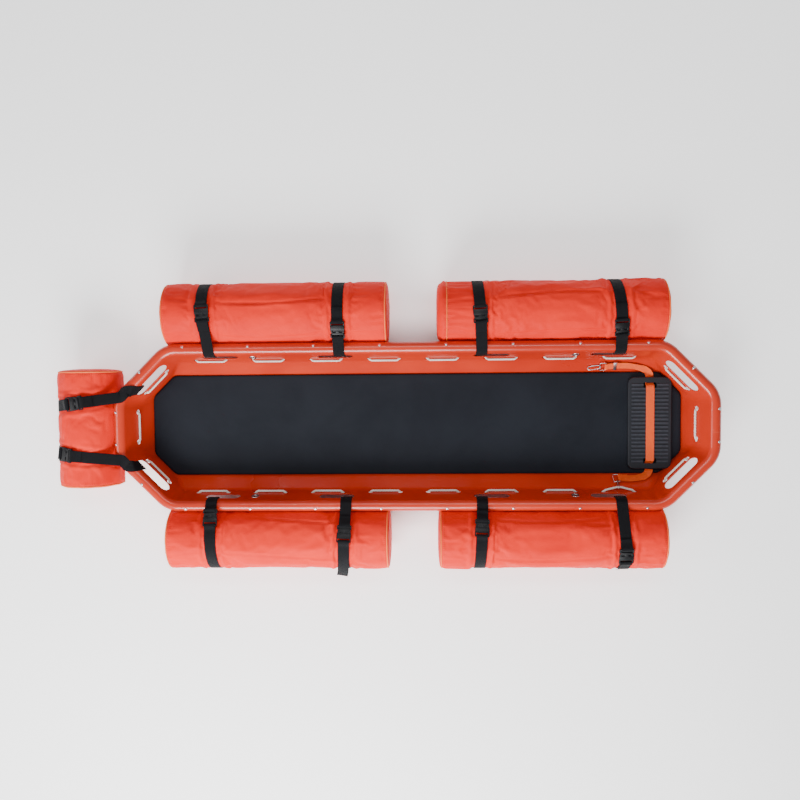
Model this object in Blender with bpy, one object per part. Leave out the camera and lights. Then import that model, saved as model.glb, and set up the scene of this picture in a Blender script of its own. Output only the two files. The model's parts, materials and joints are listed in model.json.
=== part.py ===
"""Floating rescue stretcher: a moulded basket litter with strapped-on flotation rolls, life line, mat and foot rest.

Metres, +Z up, +X towards the foot end. The litter stands on its runners at z = 0.
"""

import math

import bmesh
import bpy
from mathutils import Matrix, Vector
from mathutils.geometry import tessellate_polygon

# Clearance between touching pieces
GAP = 0.0003

# Tub: overall size, rolled rim, wall stations and plan corners
LENGTH, WIDTH = 2.16, 0.605
ROLL_R, ROLL_Z = 0.0215, 0.163
WALL = 0.004
FLOOR_Z, KNEE_Z = 0.016, 0.090
SIDE, END, CORNER = "side", "end", "corner"
FLOOR_IN = {SIDE: 0.116, END: 0.092, CORNER: 0.060}
KNEE_IN = {SIDE: 0.044, END: 0.036, CORNER: 0.033}
CHAMFER, FILLET, FILLET_STEPS = 0.1734, 0.090, 3
ROLL_FROM, ROLL_TO = 162.0, -50.0
RIM_X, RIM_Y = LENGTH / 2 - ROLL_R, WIDTH / 2 - ROLL_R
TOP_IN = -ROLL_R * math.cos(math.radians(ROLL_FROM))
TOP_Z = ROLL_Z + ROLL_R * math.sin(math.radians(ROLL_FROM))

# Openings in the upper wall
SLOT_X, SLOT_L, SLOT_H, SLOT_Z = (0.280, 0.695), 0.127, 0.034, 0.139
HAND_L, HAND_H, HAND_Z = 0.150, 0.045, 0.1395
EYE_X, EYE_Z, EYE_R = 0.578, 0.139, 0.010

# Life line: eight spans on each side, the last ones ROPE_FROM_END in from the ends
ROPE_R, ROPE_Z, ROPE_HOLE_R = 0.004, 0.107, 0.009
ROPE_FROM_END, ROPE_SPAN = 0.320, 0.110
ROPE_PITCH = (RIM_X - ROPE_FROM_END) / 3.5
ROPE_BULGE = 0.0150

# Runners and mat
RUNNER_Y, RUNNER_W, RUNNER_L = 0.105, 0.030, 1.80
MAT_T = 0.030

# Flotation rolls
FLOAT_R, FLOAT_Z, FLOAT_SIDES = 0.110, 0.114, 24
FLOAT_L, FLOAT_X, END_FLOAT_L = 0.80, 0.49, 0.42
COVER_T, BULGE, PIPING, END_DOME = 0.0020, 0.0030, 0.0035, 0.006
SNUG = 0.041
RIM_TO_FLOAT = ROLL_R + FLOAT_R + 0.0035
FLOAT_OUT = math.sqrt(RIM_TO_FLOAT ** 2 - (ROLL_Z - FLOAT_Z) ** 2)

# Webbing straps and their buckles
STRAP_W, STRAP_T = 0.040, 0.002
BUCKLE_W, BUCKLE_T, BUCKLE_LIFT = 0.052, 0.007, 0.0016
BUCKLE_L, BAR, WINDOW = 0.062, 0.005, 0.009
# Each strap: name, distance from the tub's middle, side, buckle's place out from the roll's middle, sideways
# lean at the roll's outer side, and length of the loose tail
SIDE_STRAPS = (
    ("strap_left_head_1", -0.728, 1, 0.000, -0.016, 0.050),
    ("strap_left_head_2", -0.262, 1, -0.060, 0.000, 0.045),
    ("strap_left_foot_1", 0.243, 1, -0.012, -0.014, 0.060),
    ("strap_left_foot_2", 0.728, 1, -0.062, -0.016, 0.050),
    ("strap_right_head_1", -0.728, -1, -0.088, 0.006, 0.050),
    ("strap_right_head_2", -0.243, -1, -0.033, -0.010, 0.075),
    ("strap_right_foot_1", 0.243, -1, -0.052, -0.010, 0.050),
    ("strap_right_foot_2", 0.733, -1, 0.044, 0.010, 0.070),
)
END_STRAPS = (("strap_head_left", 1, 0.012, 0.045), ("strap_head_right", -1, 0.052, 0.055))
END_STRAP_Y, END_STRAP_LEAN, HOLE_END = 0.112, 0.129, 0.050

# Foot rest
PLATE_L, PLATE_H, PLATE_WALL = 0.157, 0.018, 0.004
PLATE_FROM_SIDE, PLATE_FROM_END = 0.113, 0.1985
PLATE_W, PLATE_X = 2 * (RIM_Y - PLATE_FROM_SIDE), RIM_X - PLATE_FROM_END
RIB_H, RIB_PITCH = 0.0022, 0.014
FOOT_SLOT_Y, FOOT_SLOT_L, FOOT_SLOT_W = 0.138, 0.048, 0.020
FOOT_STRAP_W, FOOT_STRAP_T, NOTCH_Z = 0.030, 0.0018, 0.0045
RING_BAR, TAIL_DROP = 0.0035, 0.0032
HOOK_R, HOOK_LOOP_R, HOOK_GATE_AT, HOOK_GATE_L, HOOK_GAP = 0.0018, 0.0064, 0.008, 0.016, 0.0008
HOOK_SEAT = HOOK_LOOP_R - HOOK_R - RING_BAR / 2 - 0.0009
MAT_TOP = FLOOR_Z + GAP + MAT_T

# The whole object's middle is the origin, so the tub sits towards the foot end by half the head roll's reach
HEAD_REACH = FLOAT_OUT + FLOAT_R + GAP + STRAP_T + 0.0007 - ROLL_R
TUB_X = HEAD_REACH / 2

COLOURS = {
    "shell": ((0.72, 0.075, 0.022), 0.25, 0.0),
    "sleeve": ((0.86, 0.085, 0.040), 0.65, 0.0),
    "piping": ((0.95, 0.26, 0.10), 0.6, 0.0),
    "foam": ((0.85, 0.85, 0.80), 0.9, 0.0),
    "mat": ((0.017, 0.018, 0.025), 0.6, 0.0),
    "webbing": ((0.008, 0.008, 0.011), 0.75, 0.0),
    "buckle": ((0.012, 0.012, 0.014), 0.4, 0.0),
    "plate": ((0.028, 0.030, 0.038), 0.5, 0.0),
    "orange_webbing": ((0.95, 0.19, 0.050), 0.7, 0.0),
    "metal": ((0.70, 0.70, 0.70), 0.25, 1.0),
    "tube": ((0.75, 0.75, 0.76), 0.35, 1.0),
    "rope": ((0.85, 0.83, 0.76), 0.8, 0.0),
    "runner": ((0.02, 0.02, 0.022), 0.5, 0.0),
}


def clear_scene():
    for ob in list(bpy.data.objects):
        bpy.data.objects.remove(ob, do_unlink=True)


def material(name, kind):
    colour, rough, metal = COLOURS[kind]
    mat = bpy.data.materials.new(name)
    mat.use_nodes = True
    shader = mat.node_tree.nodes["Principled BSDF"]
    shader.inputs["Base Color"].default_value = (*colour, 1.0)
    shader.inputs["Roughness"].default_value = rough
    shader.inputs["Metallic"].default_value = metal
    return mat


def add_node(name, kind, bm, parent=None, smooth=40.0, origin=(0.0, 0.0, 0.0)):
    """Turns a bmesh in tub coordinates into a named object that stands at the origin given."""
    bmesh.ops.recalc_face_normals(bm, faces=bm.faces)
    bmesh.ops.translate(bm, verts=bm.verts, vec=-Vector(origin))
    mesh = bpy.data.meshes.new(name)
    bm.to_mesh(mesh)
    bm.free()
    mesh.shade_smooth()
    mesh.set_sharp_from_angle(angle=math.radians(smooth))
    mesh.materials.append(material(name, kind))
    ob = bpy.data.objects.new(name, mesh)
    bpy.context.scene.collection.objects.link(ob)
    ob.location = origin
    if parent is not None:
        ob.parent = parent
        ob.matrix_parent_inverse = parent.matrix_basis.inverted()
    return ob


def cutter(bm, name):
    """A hidden cutting body, shown as wire."""
    bmesh.ops.recalc_face_normals(bm, faces=bm.faces)
    mesh = bpy.data.meshes.new(name)
    bm.to_mesh(mesh)
    bm.free()
    ob = bpy.data.objects.new(name, mesh)
    bpy.context.scene.collection.objects.link(ob)
    ob.display_type = "WIRE"
    ob.hide_render = True
    return ob


def cut(ob, bm, name):
    """Cuts the body out of ob at once, so that no cutter is left in the scene."""
    tool = cutter(bm, name)
    tool.location = (TUB_X, 0.0, 0.0)
    mod = ob.modifiers.new(name, "BOOLEAN")
    mod.operation, mod.solver, mod.object = "DIFFERENCE", "EXACT", tool
    with bpy.context.temp_override(object=ob, active_object=ob, selected_objects=[ob]):
        bpy.context.view_layer.update()
        bpy.ops.object.modifier_apply(modifier=name)
    bpy.data.objects.remove(tool, do_unlink=True)


# Mesh helpers

def loft(bm, rings, closed=False, caps=True):
    """Joins rings of equal length by quads, and caps the first and last unless the loft closes on itself."""
    rows = [[bm.verts.new(p) for p in ring] for ring in rings]
    n = len(rows[0])
    pairs = list(zip(rows, rows[1:])) + ([(rows[-1], rows[0])] if closed else [])
    for a, b in pairs:
        for i in range(n):
            bm.faces.new((a[i], a[(i + 1) % n], b[(i + 1) % n], b[i]))
    if caps and not closed:
        bm.faces.new(rows[0][::-1])
        bm.faces.new(rows[-1])
    return rows


def prism(bm, outline, holes, low, high, place=Matrix()):
    """Extrudes an outline with holes, given as (x, y) lists, between two heights."""
    loops = [[Vector((x, y, 0.0)) for x, y in loop] for loop in [outline] + holes]
    flat = [p for loop in loops for p in loop]
    lower = [bm.verts.new(place @ Vector((p.x, p.y, low))) for p in flat]
    upper = [bm.verts.new(place @ Vector((p.x, p.y, high))) for p in flat]
    for tri in tessellate_polygon(loops):
        bm.faces.new([lower[i] for i in tri])
        bm.faces.new([upper[i] for i in reversed(tri)])
    start = 0
    for loop in loops:
        n = len(loop)
        for i in range(n):
            a, b = start + i, start + (i + 1) % n
            bm.faces.new((lower[a], lower[b], upper[b], upper[a]))
        start += n


def round_bar(bm, path, radius, sides, closed=False, up=Vector((0, 0, 1))):
    """A round bar along a path whose frames keep to the up direction."""
    n = len(path)
    rings = []
    for i, p in enumerate(path):
        a = path[(i - 1) % n] if closed or i else path[0]
        b = path[(i + 1) % n] if closed or i < n - 1 else path[-1]
        along = (b - a).normalized()
        across = along.cross(up).normalized()
        high = across.cross(along)
        rings.append([
            p + (across * math.cos(t) + high * math.sin(t)) * radius
            for t in (2 * math.pi * (k + 0.5) / sides for k in range(sides))
        ])
    loft(bm, rings, closed=closed)


def ribbon(bm, path, widths, width, thickness):
    """A flat band along a path; widths holds the direction across the band at each point."""
    n = len(path)
    rings = []
    for i, p in enumerate(path):
        before = (p - path[i - 1]).normalized() if i else None
        after = (path[i + 1] - p).normalized() if i < n - 1 else None
        along = ((before or after) + (after or before)).normalized()
        across = (widths[i] - along * widths[i].dot(along)).normalized()
        face = along.cross(across)
        turn = (before or after).angle(after or before)
        half = thickness / 2 / max(math.cos(turn / 2), 0.35)
        rings.append([
            p + across * sx * width / 2 + face * sz * half
            for sx, sz in ((-1, -1), (1, -1), (1, 1), (-1, 1))
        ])
    loft(bm, rings)


def rounded(corners, radius, steps):
    """Fillets a closed corner list (x, y) with arcs of the radius given."""
    out = []
    n = len(corners)
    for i, c in enumerate(corners):
        c = Vector(c)
        a = (Vector(corners[i - 1]) - c).normalized()
        b = (Vector(corners[(i + 1) % n]) - c).normalized()
        half = a.angle(b) / 2
        middle = c + (a + b).normalized() * radius / math.sin(half)
        start = c + a * radius / math.tan(half) - middle
        sweep = (c + b * radius / math.tan(half) - middle).angle_signed(start)
        for k in range(steps + 1):
            out.append(tuple(middle + Matrix.Rotation(sweep * k / steps, 2) @ start))
    return out


def stadium(length, height, steps):
    """Outline of a slot with round ends, along x."""
    r = height / 2
    out = []
    for side in (1, -1):
        for k in range(steps + 1):
            t = math.pi * (k / steps - 0.5)
            out.append((side * (length / 2 - r + r * math.cos(t)), side * r * math.sin(t)))
    return out


def circle(radius, steps, turn=0.0):
    return [
        (radius * math.cos(2 * math.pi * (k + turn) / steps), radius * math.sin(2 * math.pi * (k + turn) / steps))
        for k in range(steps)
    ]


# Tub

def inset(part, z):
    """How far the wall's inner face lies inside the rim's centre line at height z, on a side, end or corner."""
    if z >= KNEE_Z:
        low, high, z0, z1 = KNEE_IN[part], TOP_IN, KNEE_Z, TOP_Z
    else:
        low, high, z0, z1 = FLOOR_IN[part], KNEE_IN[part], FLOOR_Z, KNEE_Z
    return low + (high - low) * (z - z0) / (z1 - z0)


def lean(part, z):
    """How much further along the horizontal the wall's outer face lies than its thickness."""
    if z >= KNEE_Z:
        run, rise = KNEE_IN[part] - TOP_IN, TOP_Z - KNEE_Z
    else:
        run, rise = FLOOR_IN[part] - KNEE_IN[part], KNEE_Z - FLOOR_Z
    return math.hypot(run, rise) / rise


def plan_loop(ins, z):
    """One closed loop round the tub, in from the rim's centre line by ins on its sides, ends and corners."""
    hx, hy = RIM_X - ins[END], RIM_Y - ins[SIDE]
    leg = CHAMFER - ins[END] - ins[SIDE] + math.sqrt(2) * ins[CORNER]
    corners = [(hx, -hy + leg), (hx, hy - leg), (hx - leg, hy), (-hx + leg, hy),
               (-hx, hy - leg), (-hx, -hy + leg), (-hx + leg, -hy), (hx - leg, -hy)]
    return [(x + TUB_X, y, z) for x, y in rounded(corners, FILLET - ins[CORNER], FILLET_STEPS)]


def wall_ring(z, out=0.0, extra=0.0, at=None):
    """Loop on the wall at height z; out is the distance out through the wall, extra more inset."""
    place = z if at is None else at
    return plan_loop({p: inset(p, place) - out * lean(p, place) + extra for p in FLOOR_IN}, z)


def roll_ring(angle, radius):
    t = math.radians(angle)
    return plan_loop({p: -radius * math.cos(t) for p in FLOOR_IN}, ROLL_Z + radius * math.sin(t))


def shell_rings():
    soft = 0.007
    rings = [wall_ring(FLOOR_Z, extra=soft), wall_ring(FLOOR_Z + soft * 0.7)]
    rings += [wall_ring(KNEE_Z - soft), wall_ring(KNEE_Z + soft)]
    steps = 12
    rings += [roll_ring(ROLL_FROM + (ROLL_TO - ROLL_FROM) * k / steps, ROLL_R) for k in range(steps + 1)]
    steps = 8
    rings += [roll_ring(ROLL_TO + (ROLL_FROM - ROLL_TO) * k / steps, ROLL_R - WALL) for k in range(steps + 1)]
    rings += [wall_ring(KNEE_Z + soft, out=WALL), wall_ring(KNEE_Z - soft, out=WALL)]
    bottom = FLOOR_Z - WALL
    rings += [wall_ring(bottom + soft * 0.7, out=WALL), wall_ring(bottom, out=WALL, extra=soft)]
    return rings


def wall_frame(part, along, z, sx=1, sy=1):
    """A frame on the wall's inner face: x along the wall, y up its slope, z out through it.
    sx and sy pick the end, side or corner."""
    depth = inset(part, z)
    if part == SIDE:
        out, spot = Vector((0, sy, 0)), Vector((along, sy * (RIM_Y - depth), z))
    elif part == END:
        out, spot = Vector((sx, 0, 0)), Vector((sx * (RIM_X - depth), along, z))
    else:
        out = Vector((sx, sy, 0)).normalized()
        middle = Vector((sx * (RIM_X - CHAMFER / 2), sy * (RIM_Y - CHAMFER / 2), z))
        spot = middle - out * depth + Vector((sx, -sy, 0)).normalized() * along
    run = inset(part, z) - inset(part, z + 0.001)
    slope = (out * run + Vector((0, 0, 0.001))).normalized()
    across = slope.cross(Vector((0, 0, 1)).cross(slope)).normalized()
    normal = (out - slope * out.dot(slope)).normalized()
    across = slope.cross(normal)
    frame = Matrix((across, slope, normal)).transposed().to_4x4()
    frame.translation = spot
    return frame


def rope_spans():
    """Every stretch of the life line inside the tub, in order round it, as (part, middle, sx, sy)."""
    sides = [ROPE_PITCH * (k - 3.5) for k in range(8)]
    spans = [(SIDE, s, 1, 1) for s in reversed(sides)]
    spans += [(CORNER, 0.0, -1, 1), (END, 0.0, -1, 1), (CORNER, 0.0, -1, -1)]
    spans += [(SIDE, s, 1, -1) for s in sides]
    spans += [(CORNER, 0.0, 1, -1), (END, 0.0, 1, 1), (CORNER, 0.0, 1, 1)]
    return spans


def span_ends(part, sx, sy):
    """Signs of the two ends of a span in the order the rope meets them."""
    if part == SIDE:
        return (1, -1) if sy > 0 else (-1, 1)
    if part == END:
        return (1, -1) if sx < 0 else (-1, 1)
    return (1, -1) if sx * sy > 0 else (-1, 1)


def cut_wall(shell):
    """Slots, hand holes, lifting eyes and rope holes."""
    bm = bmesh.new()
    reach = 0.008

    def drill(outline, frame):
        prism(bm, outline, [], -reach, WALL + reach, frame)

    for sy in (1, -1):
        for sx in (1, -1):
            for x in SLOT_X:
                drill(stadium(SLOT_L, SLOT_H, 5), wall_frame(SIDE, sx * x, SLOT_Z, sy=sy))
            drill(circle(EYE_R, 12), wall_frame(SIDE, sx * EYE_X, EYE_Z, sy=sy))
            drill(stadium(HAND_L, HAND_H, 7), wall_frame(CORNER, 0.0, HAND_Z, sx, sy))
    for part, middle, sx, sy in rope_spans():
        for end in (1, -1):
            drill(circle(ROPE_HOLE_R, 8, 0.5), wall_frame(part, middle + end * ROPE_SPAN / 2, ROPE_Z, sx, sy))
    cut(shell, bm, "wall_openings")


def build_shell():
    bm = bmesh.new()
    loft(bm, shell_rings())
    shell = add_node("shell", "shell", bm)
    cut_wall(shell)
    shell.data.shade_smooth()
    shell.data.set_sharp_from_angle(angle=math.radians(32))
    return shell


def build_frame_tube():
    bm = bmesh.new()
    radius = ROLL_R - WALL - GAP - 0.0007
    sides = 8
    rings = [roll_ring(360 * (k + 0.5) / sides, radius) for k in range(sides)]
    loft(bm, rings, closed=True)
    return add_node("frame_tube", "tube", bm)


def on_tub(frame):
    moved = frame.copy()
    moved.translation.x += TUB_X
    return moved


def build_grommets():
    """Round metal eyes: a barrel through the wall with a rolled lip on each face."""
    outer, lip, bore = EYE_R - GAP, EYE_R + 0.005, EYE_R - 0.0022
    low, high = -GAP, WALL + GAP
    section = [(outer, low), (lip, low), (lip - 0.0015, low - 0.0020), (bore, low - 0.0012),
               (bore, high + 0.0012), (lip - 0.0015, high + 0.0020), (lip, high), (outer, high)]
    for sx, end in ((1, "foot"), (-1, "head")):
        for sy, side in ((1, "left"), (-1, "right")):
            bm = bmesh.new()
            frame = on_tub(wall_frame(SIDE, sx * EYE_X, EYE_Z, sy=sy))
            rings = [[frame @ Vector((r * math.cos(t), r * math.sin(t), h)) for r, h in section]
                     for t in (2 * math.pi * k / 12 for k in range(12))]
            loft(bm, rings, closed=True)
            add_node(f"lifting_eye_{side}_{end}", "metal", bm)


def build_runners():
    top = FLOOR_Z - WALL - GAP
    for side, name in ((1, "left"), (-1, "right")):
        outline = [(-RUNNER_L / 2, -RUNNER_W / 2), (RUNNER_L / 2, -RUNNER_W / 2),
                   (RUNNER_L / 2, RUNNER_W / 2), (-RUNNER_L / 2, RUNNER_W / 2)]
        rings = []
        for h, shrink in ((0.0, 0.004), (0.004, 0.0), (top, 0.0)):
            rings.append([
                Vector((x - math.copysign(shrink, x) + TUB_X, y - math.copysign(shrink, y) + side * RUNNER_Y, h))
                for x, y in rounded(outline, 0.012, 3)])
        bm = bmesh.new()
        loft(bm, rings)
        add_node(f"runner_{name}", "runner", bm)


def rope_points():
    """Centre line of the life line: inside each span, outside between spans."""
    near = ROPE_R + 0.0006
    outside = wall_ring(ROPE_Z - 0.0024, out=WALL + near)
    points, before, fillet = [], SIDE, 3
    for part, middle, sx, sy in rope_spans() + [(SIDE, None, 1, 1)]:
        if part != before:
            points += [Vector(p) for p in outside[fillet * 4:fillet * 4 + 4]]
            before, fillet = part, (fillet + 1) % 8
        if middle is None:
            break
        ends = span_ends(part, sx, sy)
        for order, end in enumerate(ends):
            hole = on_tub(wall_frame(part, middle + end * ROPE_SPAN / 2, ROPE_Z, sx, sy))
            other = on_tub(wall_frame(part, middle - end * ROPE_SPAN / 2, ROPE_Z, sx, sy))
            inward = (other.translation - hole.translation).normalized()
            out = hole.to_3x3() @ Vector((0, 0, 1))
            steps = [(-0.0075, WALL + near), (-0.0024, WALL / 2 + 0.0024),
                     (0.0024, WALL / 2 - 0.0024), (0.0075, -near)]
            if order:
                steps = steps[::-1]
            points += [hole.translation + inward * s + out * w for s, w in steps]
            if not order and (part, sy) == (SIDE, -1) and middle > 3 * ROPE_PITCH:
                points += [hole.translation + inward * s - out * w for s, w in
                           ((0.025, 0.009), (0.045, ROPE_BULGE), (0.065, ROPE_BULGE), (0.085, 0.009))]
    return points


def build_rope():
    bm = bmesh.new()
    round_bar(bm, rope_points(), ROPE_R, 6, closed=True)
    return add_node("life_line", "rope", bm, smooth=70)


def build_mat():
    """Closed-cell mat that fills the floor, its sides parallel to the wall and its top edge soft."""
    bm = bmesh.new()
    low, high = FLOOR_Z + GAP, FLOOR_Z + GAP + MAT_T
    soft = 0.004
    rings = [wall_ring(low, extra=0.010), wall_ring(low + 0.006, extra=0.0012), wall_ring(high - soft, extra=0.0012),
             wall_ring(high - soft * 0.3, extra=0.0012 + soft * 0.3),
             wall_ring(high, extra=0.0012 + soft * 1.4, at=high - soft * 0.3)]
    loft(bm, rings)
    return add_node("mattress", "mat", bm)


# Flotation rolls

def cover_rings(half, stations):
    """(distance along, radius) of the outer skin: piped seams at the ends, drawn in under each strap."""
    out = [(-half - END_DOME, FLOAT_R * 0.55), (-half, FLOAT_R - 0.004), (-half - 0.002, FLOAT_R + 0.001),
           (-half + PIPING, FLOAT_R + PIPING * 0.7), (-half + 2 * PIPING, FLOAT_R - 0.0005)]
    marks = [-half + 0.03]
    for s in stations:
        marks += [s - SNUG - 0.03, s - SNUG, s + SNUG, s + SNUG + 0.03]
    marks = sorted(m for m in marks if abs(m) <= half - 0.03) + [half - 0.03]
    for m in marks:
        near = min(abs(m - s) for s in stations)
        out.append((m, FLOAT_R + BULGE * min(max(near - SNUG, 0.0) / 0.03, 1.0)))
    out += [(half - 2 * PIPING, FLOAT_R - 0.0005), (half - PIPING, FLOAT_R + PIPING * 0.7),
            (half + 0.002, FLOAT_R + 0.001), (half, FLOAT_R - 0.004)]
    return out


def build_float(name, centre, along, length, stations):
    """A sewn cover, closed at one end and shut by a panel at the other, over a foam core."""
    along = Vector(along)
    across = Vector((0, 0, 1)).cross(along)
    half = length / 2
    inner = FLOAT_R - COVER_T - 0.004

    def ring(s, r):
        return [centre + along * s + (across * math.cos(t) + Vector((0, 0, 1)) * math.sin(t)) * r
                for t in (2 * math.pi * k / FLOAT_SIDES for k in range(FLOAT_SIDES))]

    bm = bmesh.new()
    rings = [ring(s, r) for s, r in cover_rings(half, stations)]
    rings += [ring(half - 0.003, inner), ring(-half + 0.002, inner)]
    loft(bm, rings)
    add_node(f"float_cover_{name}", "sleeve", bm, smooth=60)
    bm = bmesh.new()
    loft(bm, [ring(-half + 0.002 + GAP, inner - GAP), ring(half - 0.008, inner - GAP)])
    add_node(f"foam_core_{name}", "foam", bm)
    bm = bmesh.new()
    loft(bm, [ring(half - 0.008 + GAP, inner - GAP), ring(half, inner - GAP),
              ring(half + END_DOME, FLOAT_R * 0.55)])
    add_node(f"float_end_{name}", "sleeve", bm, smooth=60)


def build_floats():
    for sx, end in ((-1, "head"), (1, "foot")):
        for sy, side in ((1, "left"), (-1, "right")):
            spots = sorted((x - sx * FLOAT_X) for _, x, s, *_ in SIDE_STRAPS if s == sy and x * sx > 0)
            centre = Vector((TUB_X + sx * FLOAT_X, sy * (RIM_Y + FLOAT_OUT), FLOAT_Z))
            turn = -1 if (sx, sy) in ((1, 1), (-1, -1)) else 1
            build_float(f"{side}_{end}", centre, (turn, 0, 0), FLOAT_L, sorted(turn * s for s in spots))
    centre = Vector((TUB_X - RIM_X - FLOAT_OUT, 0.0, FLOAT_Z))
    build_float("head", centre, (0, 1, 0), END_FLOAT_L, (-0.096, 0.096))


# Straps: each is worked out as a taut loop in a plane, u outwards from the rim's centre line and z up

def hull(points):
    """Convex outline of (u, z) points, anticlockwise."""
    points = sorted(set(points))

    def half(seq):
        out = []
        for p in seq:
            while len(out) > 1 and ((out[-1][0] - out[-2][0]) * (p[1] - out[-2][1])
                                    - (out[-1][1] - out[-2][1]) * (p[0] - out[-2][0])) <= 1e-12:
                out.pop()
            out.append(p)
        return out[:-1]

    return half(points) + half(points[::-1])


def arc_points(u, z, radius, start, end, step):
    count = round((end - start) / step)
    return [(u + radius * math.cos(math.radians(start + step * k)), z + radius * math.sin(math.radians(start + step * k)))
            for k in range(count + 1)]


def buckle_spot(place, base):
    """Point and outward normal of the taut loop where the buckle sits, place out from the roll's middle."""
    radius = base["radius"]
    limit = math.cos(base["leave"]) * radius
    if place >= limit:
        angle = math.acos(place / radius)
        normal = Vector((math.cos(angle), math.sin(angle)))
        return Vector((FLOAT_OUT, FLOAT_Z)) + normal * radius, normal
    normal = Vector((math.cos(base["leave"]), math.sin(base["leave"])))
    start = Vector((FLOAT_OUT, FLOAT_Z)) + normal * radius
    toward = Vector((-normal.y, normal.x))
    return start + toward * (place - limit) / toward.x, normal


def strap_base(roll_u, roll_r, slack):
    """Radius of the loop on the float, and the angle at which it leaves the float for the rim."""
    radius = FLOAT_R + GAP + slack + STRAP_T / 2
    gap = Vector((roll_u - FLOAT_OUT, ROLL_Z - FLOAT_Z))
    leave = math.atan2(gap.y, gap.x) - math.acos((radius - roll_r) / gap.length)
    return {"radius": radius, "leave": leave}


def taut_loop(place, inner, roll_u=0.0, roll_r=ROLL_R + 0.0019, slack=0.0):
    """The loop from one end of the buckle round the float and through the wall to the other end of it."""
    base = strap_base(roll_u, roll_r, slack)
    spot, normal = buckle_spot(place, base)
    toward = Vector((-normal.y, normal.x))
    reach = BUCKLE_L / 2 + 0.002
    near, far = spot + toward * reach, spot - toward * reach
    points = arc_points(FLOAT_OUT, FLOAT_Z, base["radius"], 0, 345, 360 / FLOAT_SIDES)
    points += arc_points(roll_u, ROLL_Z, roll_r, 72, 180, 18) + [inner]
    ends = [tuple(near), tuple(far)]
    loop = [p for p in hull(points + ends)]
    start = min(range(len(loop)), key=lambda i: (Vector(loop[i]) - near).length)
    loop = loop[start:] + loop[:start]
    stop = min(range(len(loop)), key=lambda i: (Vector(loop[i]) - far).length)
    return [Vector(p) for p in loop[:stop + 1]], spot, normal, toward


def lift_walk(path, normal_at, length, height):
    """Points along a path from its first point, lifted off it, up to a length."""
    out, run = [], 0.0
    for i, (a, b) in enumerate(zip(path, path[1:])):
        step = (b - a).length
        if run + step >= length:
            out.append((a + (b - a) * (length - run) / step, normal_at(i)))
            break
        run += step
        out.append((b, (normal_at(i) + normal_at(i + 1)).normalized()))
    return [p + n * height for p, n in out]


def fold_over(frame, sign):
    """The band's way round a buckle bar, from the loose layer on top to the main layer below."""
    half = BUCKLE_L / 2
    low, high = 0.0, BUCKLE_LIFT + BUCKLE_T + 0.0018
    steps = [(half + 0.0015, high), (half - BAR - 0.0020, high), (half - BAR - 0.0042, high - 0.0022),
             (half - BAR - 0.0042, low + 0.0022), (half - BAR - 0.0020, low)]
    return [frame @ Vector((0.0, sign * a, h)) for a, h in steps]


def build_buckle(name, frame):
    """A latched side-release buckle: arms in the side notches and a window by the bar at each end."""
    w, half = BUCKLE_W / 2, BUCKLE_L / 2
    notch, w2 = 0.0035, STRAP_W / 2 + 0.0012
    outline = [(w - 0.003, -half), (w, -half + 0.003), (w, -0.006), (w - notch, -0.004), (w - notch, 0.012),
               (w, 0.014), (w, half - 0.004), (w - 0.004, half)]
    outline += [(-x, y) for x, y in reversed(outline)]
    windows = []
    for sign in (1, -1):
        y0, y1 = sorted((sign * (half - BAR), sign * (half - BAR - WINDOW)))
        windows.append([(w2, y0), (w2, y1), (-w2, y1), (-w2, y0)])
    bm = bmesh.new()
    prism(bm, outline, windows, BUCKLE_LIFT, BUCKLE_LIFT + BUCKLE_T, frame)
    add_node(name, "buckle", bm, smooth=30)


def build_strap(name, place_3d, loop, spot, normal, toward, tail, swap=None):
    """One webbing strap with both ends folded round the buckle's bars. place_3d carries (u, z) into the tub."""
    centre = place_3d(spot)
    along = (place_3d(spot + toward * 0.01) - centre).normalized()
    up = (place_3d(spot + normal * 0.01) - centre)
    up = (up - along * up.dot(along)).normalized()
    across = along.cross(up)
    frame = Matrix((across, along, up)).transposed().to_4x4()
    frame.translation = centre
    points = [place_3d(p) for p in loop]
    level = Vector((1, 0, 0)) if abs(across.x) > abs(across.y) else Vector((0, 1, 0))
    widths = [level * math.copysign(1, level.dot(across)) for _ in points]
    widths[0] = widths[-1] = across
    if swap is not None:
        points, widths = swap(points, widths)

    def outward(path, cross):
        def at(i):
            i = min(i, len(path) - 2)
            return (path[i + 1] - path[i]).cross(cross).normalized()
        return at

    first = lift_walk(points, outward(points, -across), 0.030, 0.0034)
    back = points[::-1]
    last = lift_walk(back, outward(back, across), tail, 0.0034)
    path = first[::-1] + fold_over(frame, 1) + points + fold_over(frame, -1)[::-1] + last
    widths = ([across] * len(first) + [across] * 5 + widths + [across] * 5 + [across] * len(last))
    bm = bmesh.new()
    ribbon(bm, path, widths, STRAP_W, STRAP_T)
    add_node(name, "webbing", bm, smooth=50)
    build_buckle(name.replace("strap", "buckle"), frame)


def build_side_straps():
    z = SLOT_Z + 0.009
    inner = (-inset(SIDE, z) - 0.0016, z)
    for name, x, sy, place, lean_x, tail in SIDE_STRAPS:
        loop, spot, normal, toward = taut_loop(place, inner)

        def place_3d(p, x=x, sy=sy, lean_x=lean_x):
            shift = lean_x * max(p[0], 0.0) / (FLOAT_OUT + FLOAT_R)
            return Vector((TUB_X + x + shift, sy * (RIM_Y + p[0]), p[1]))

        build_strap(name, place_3d, loop, spot, normal, toward, tail)


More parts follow.
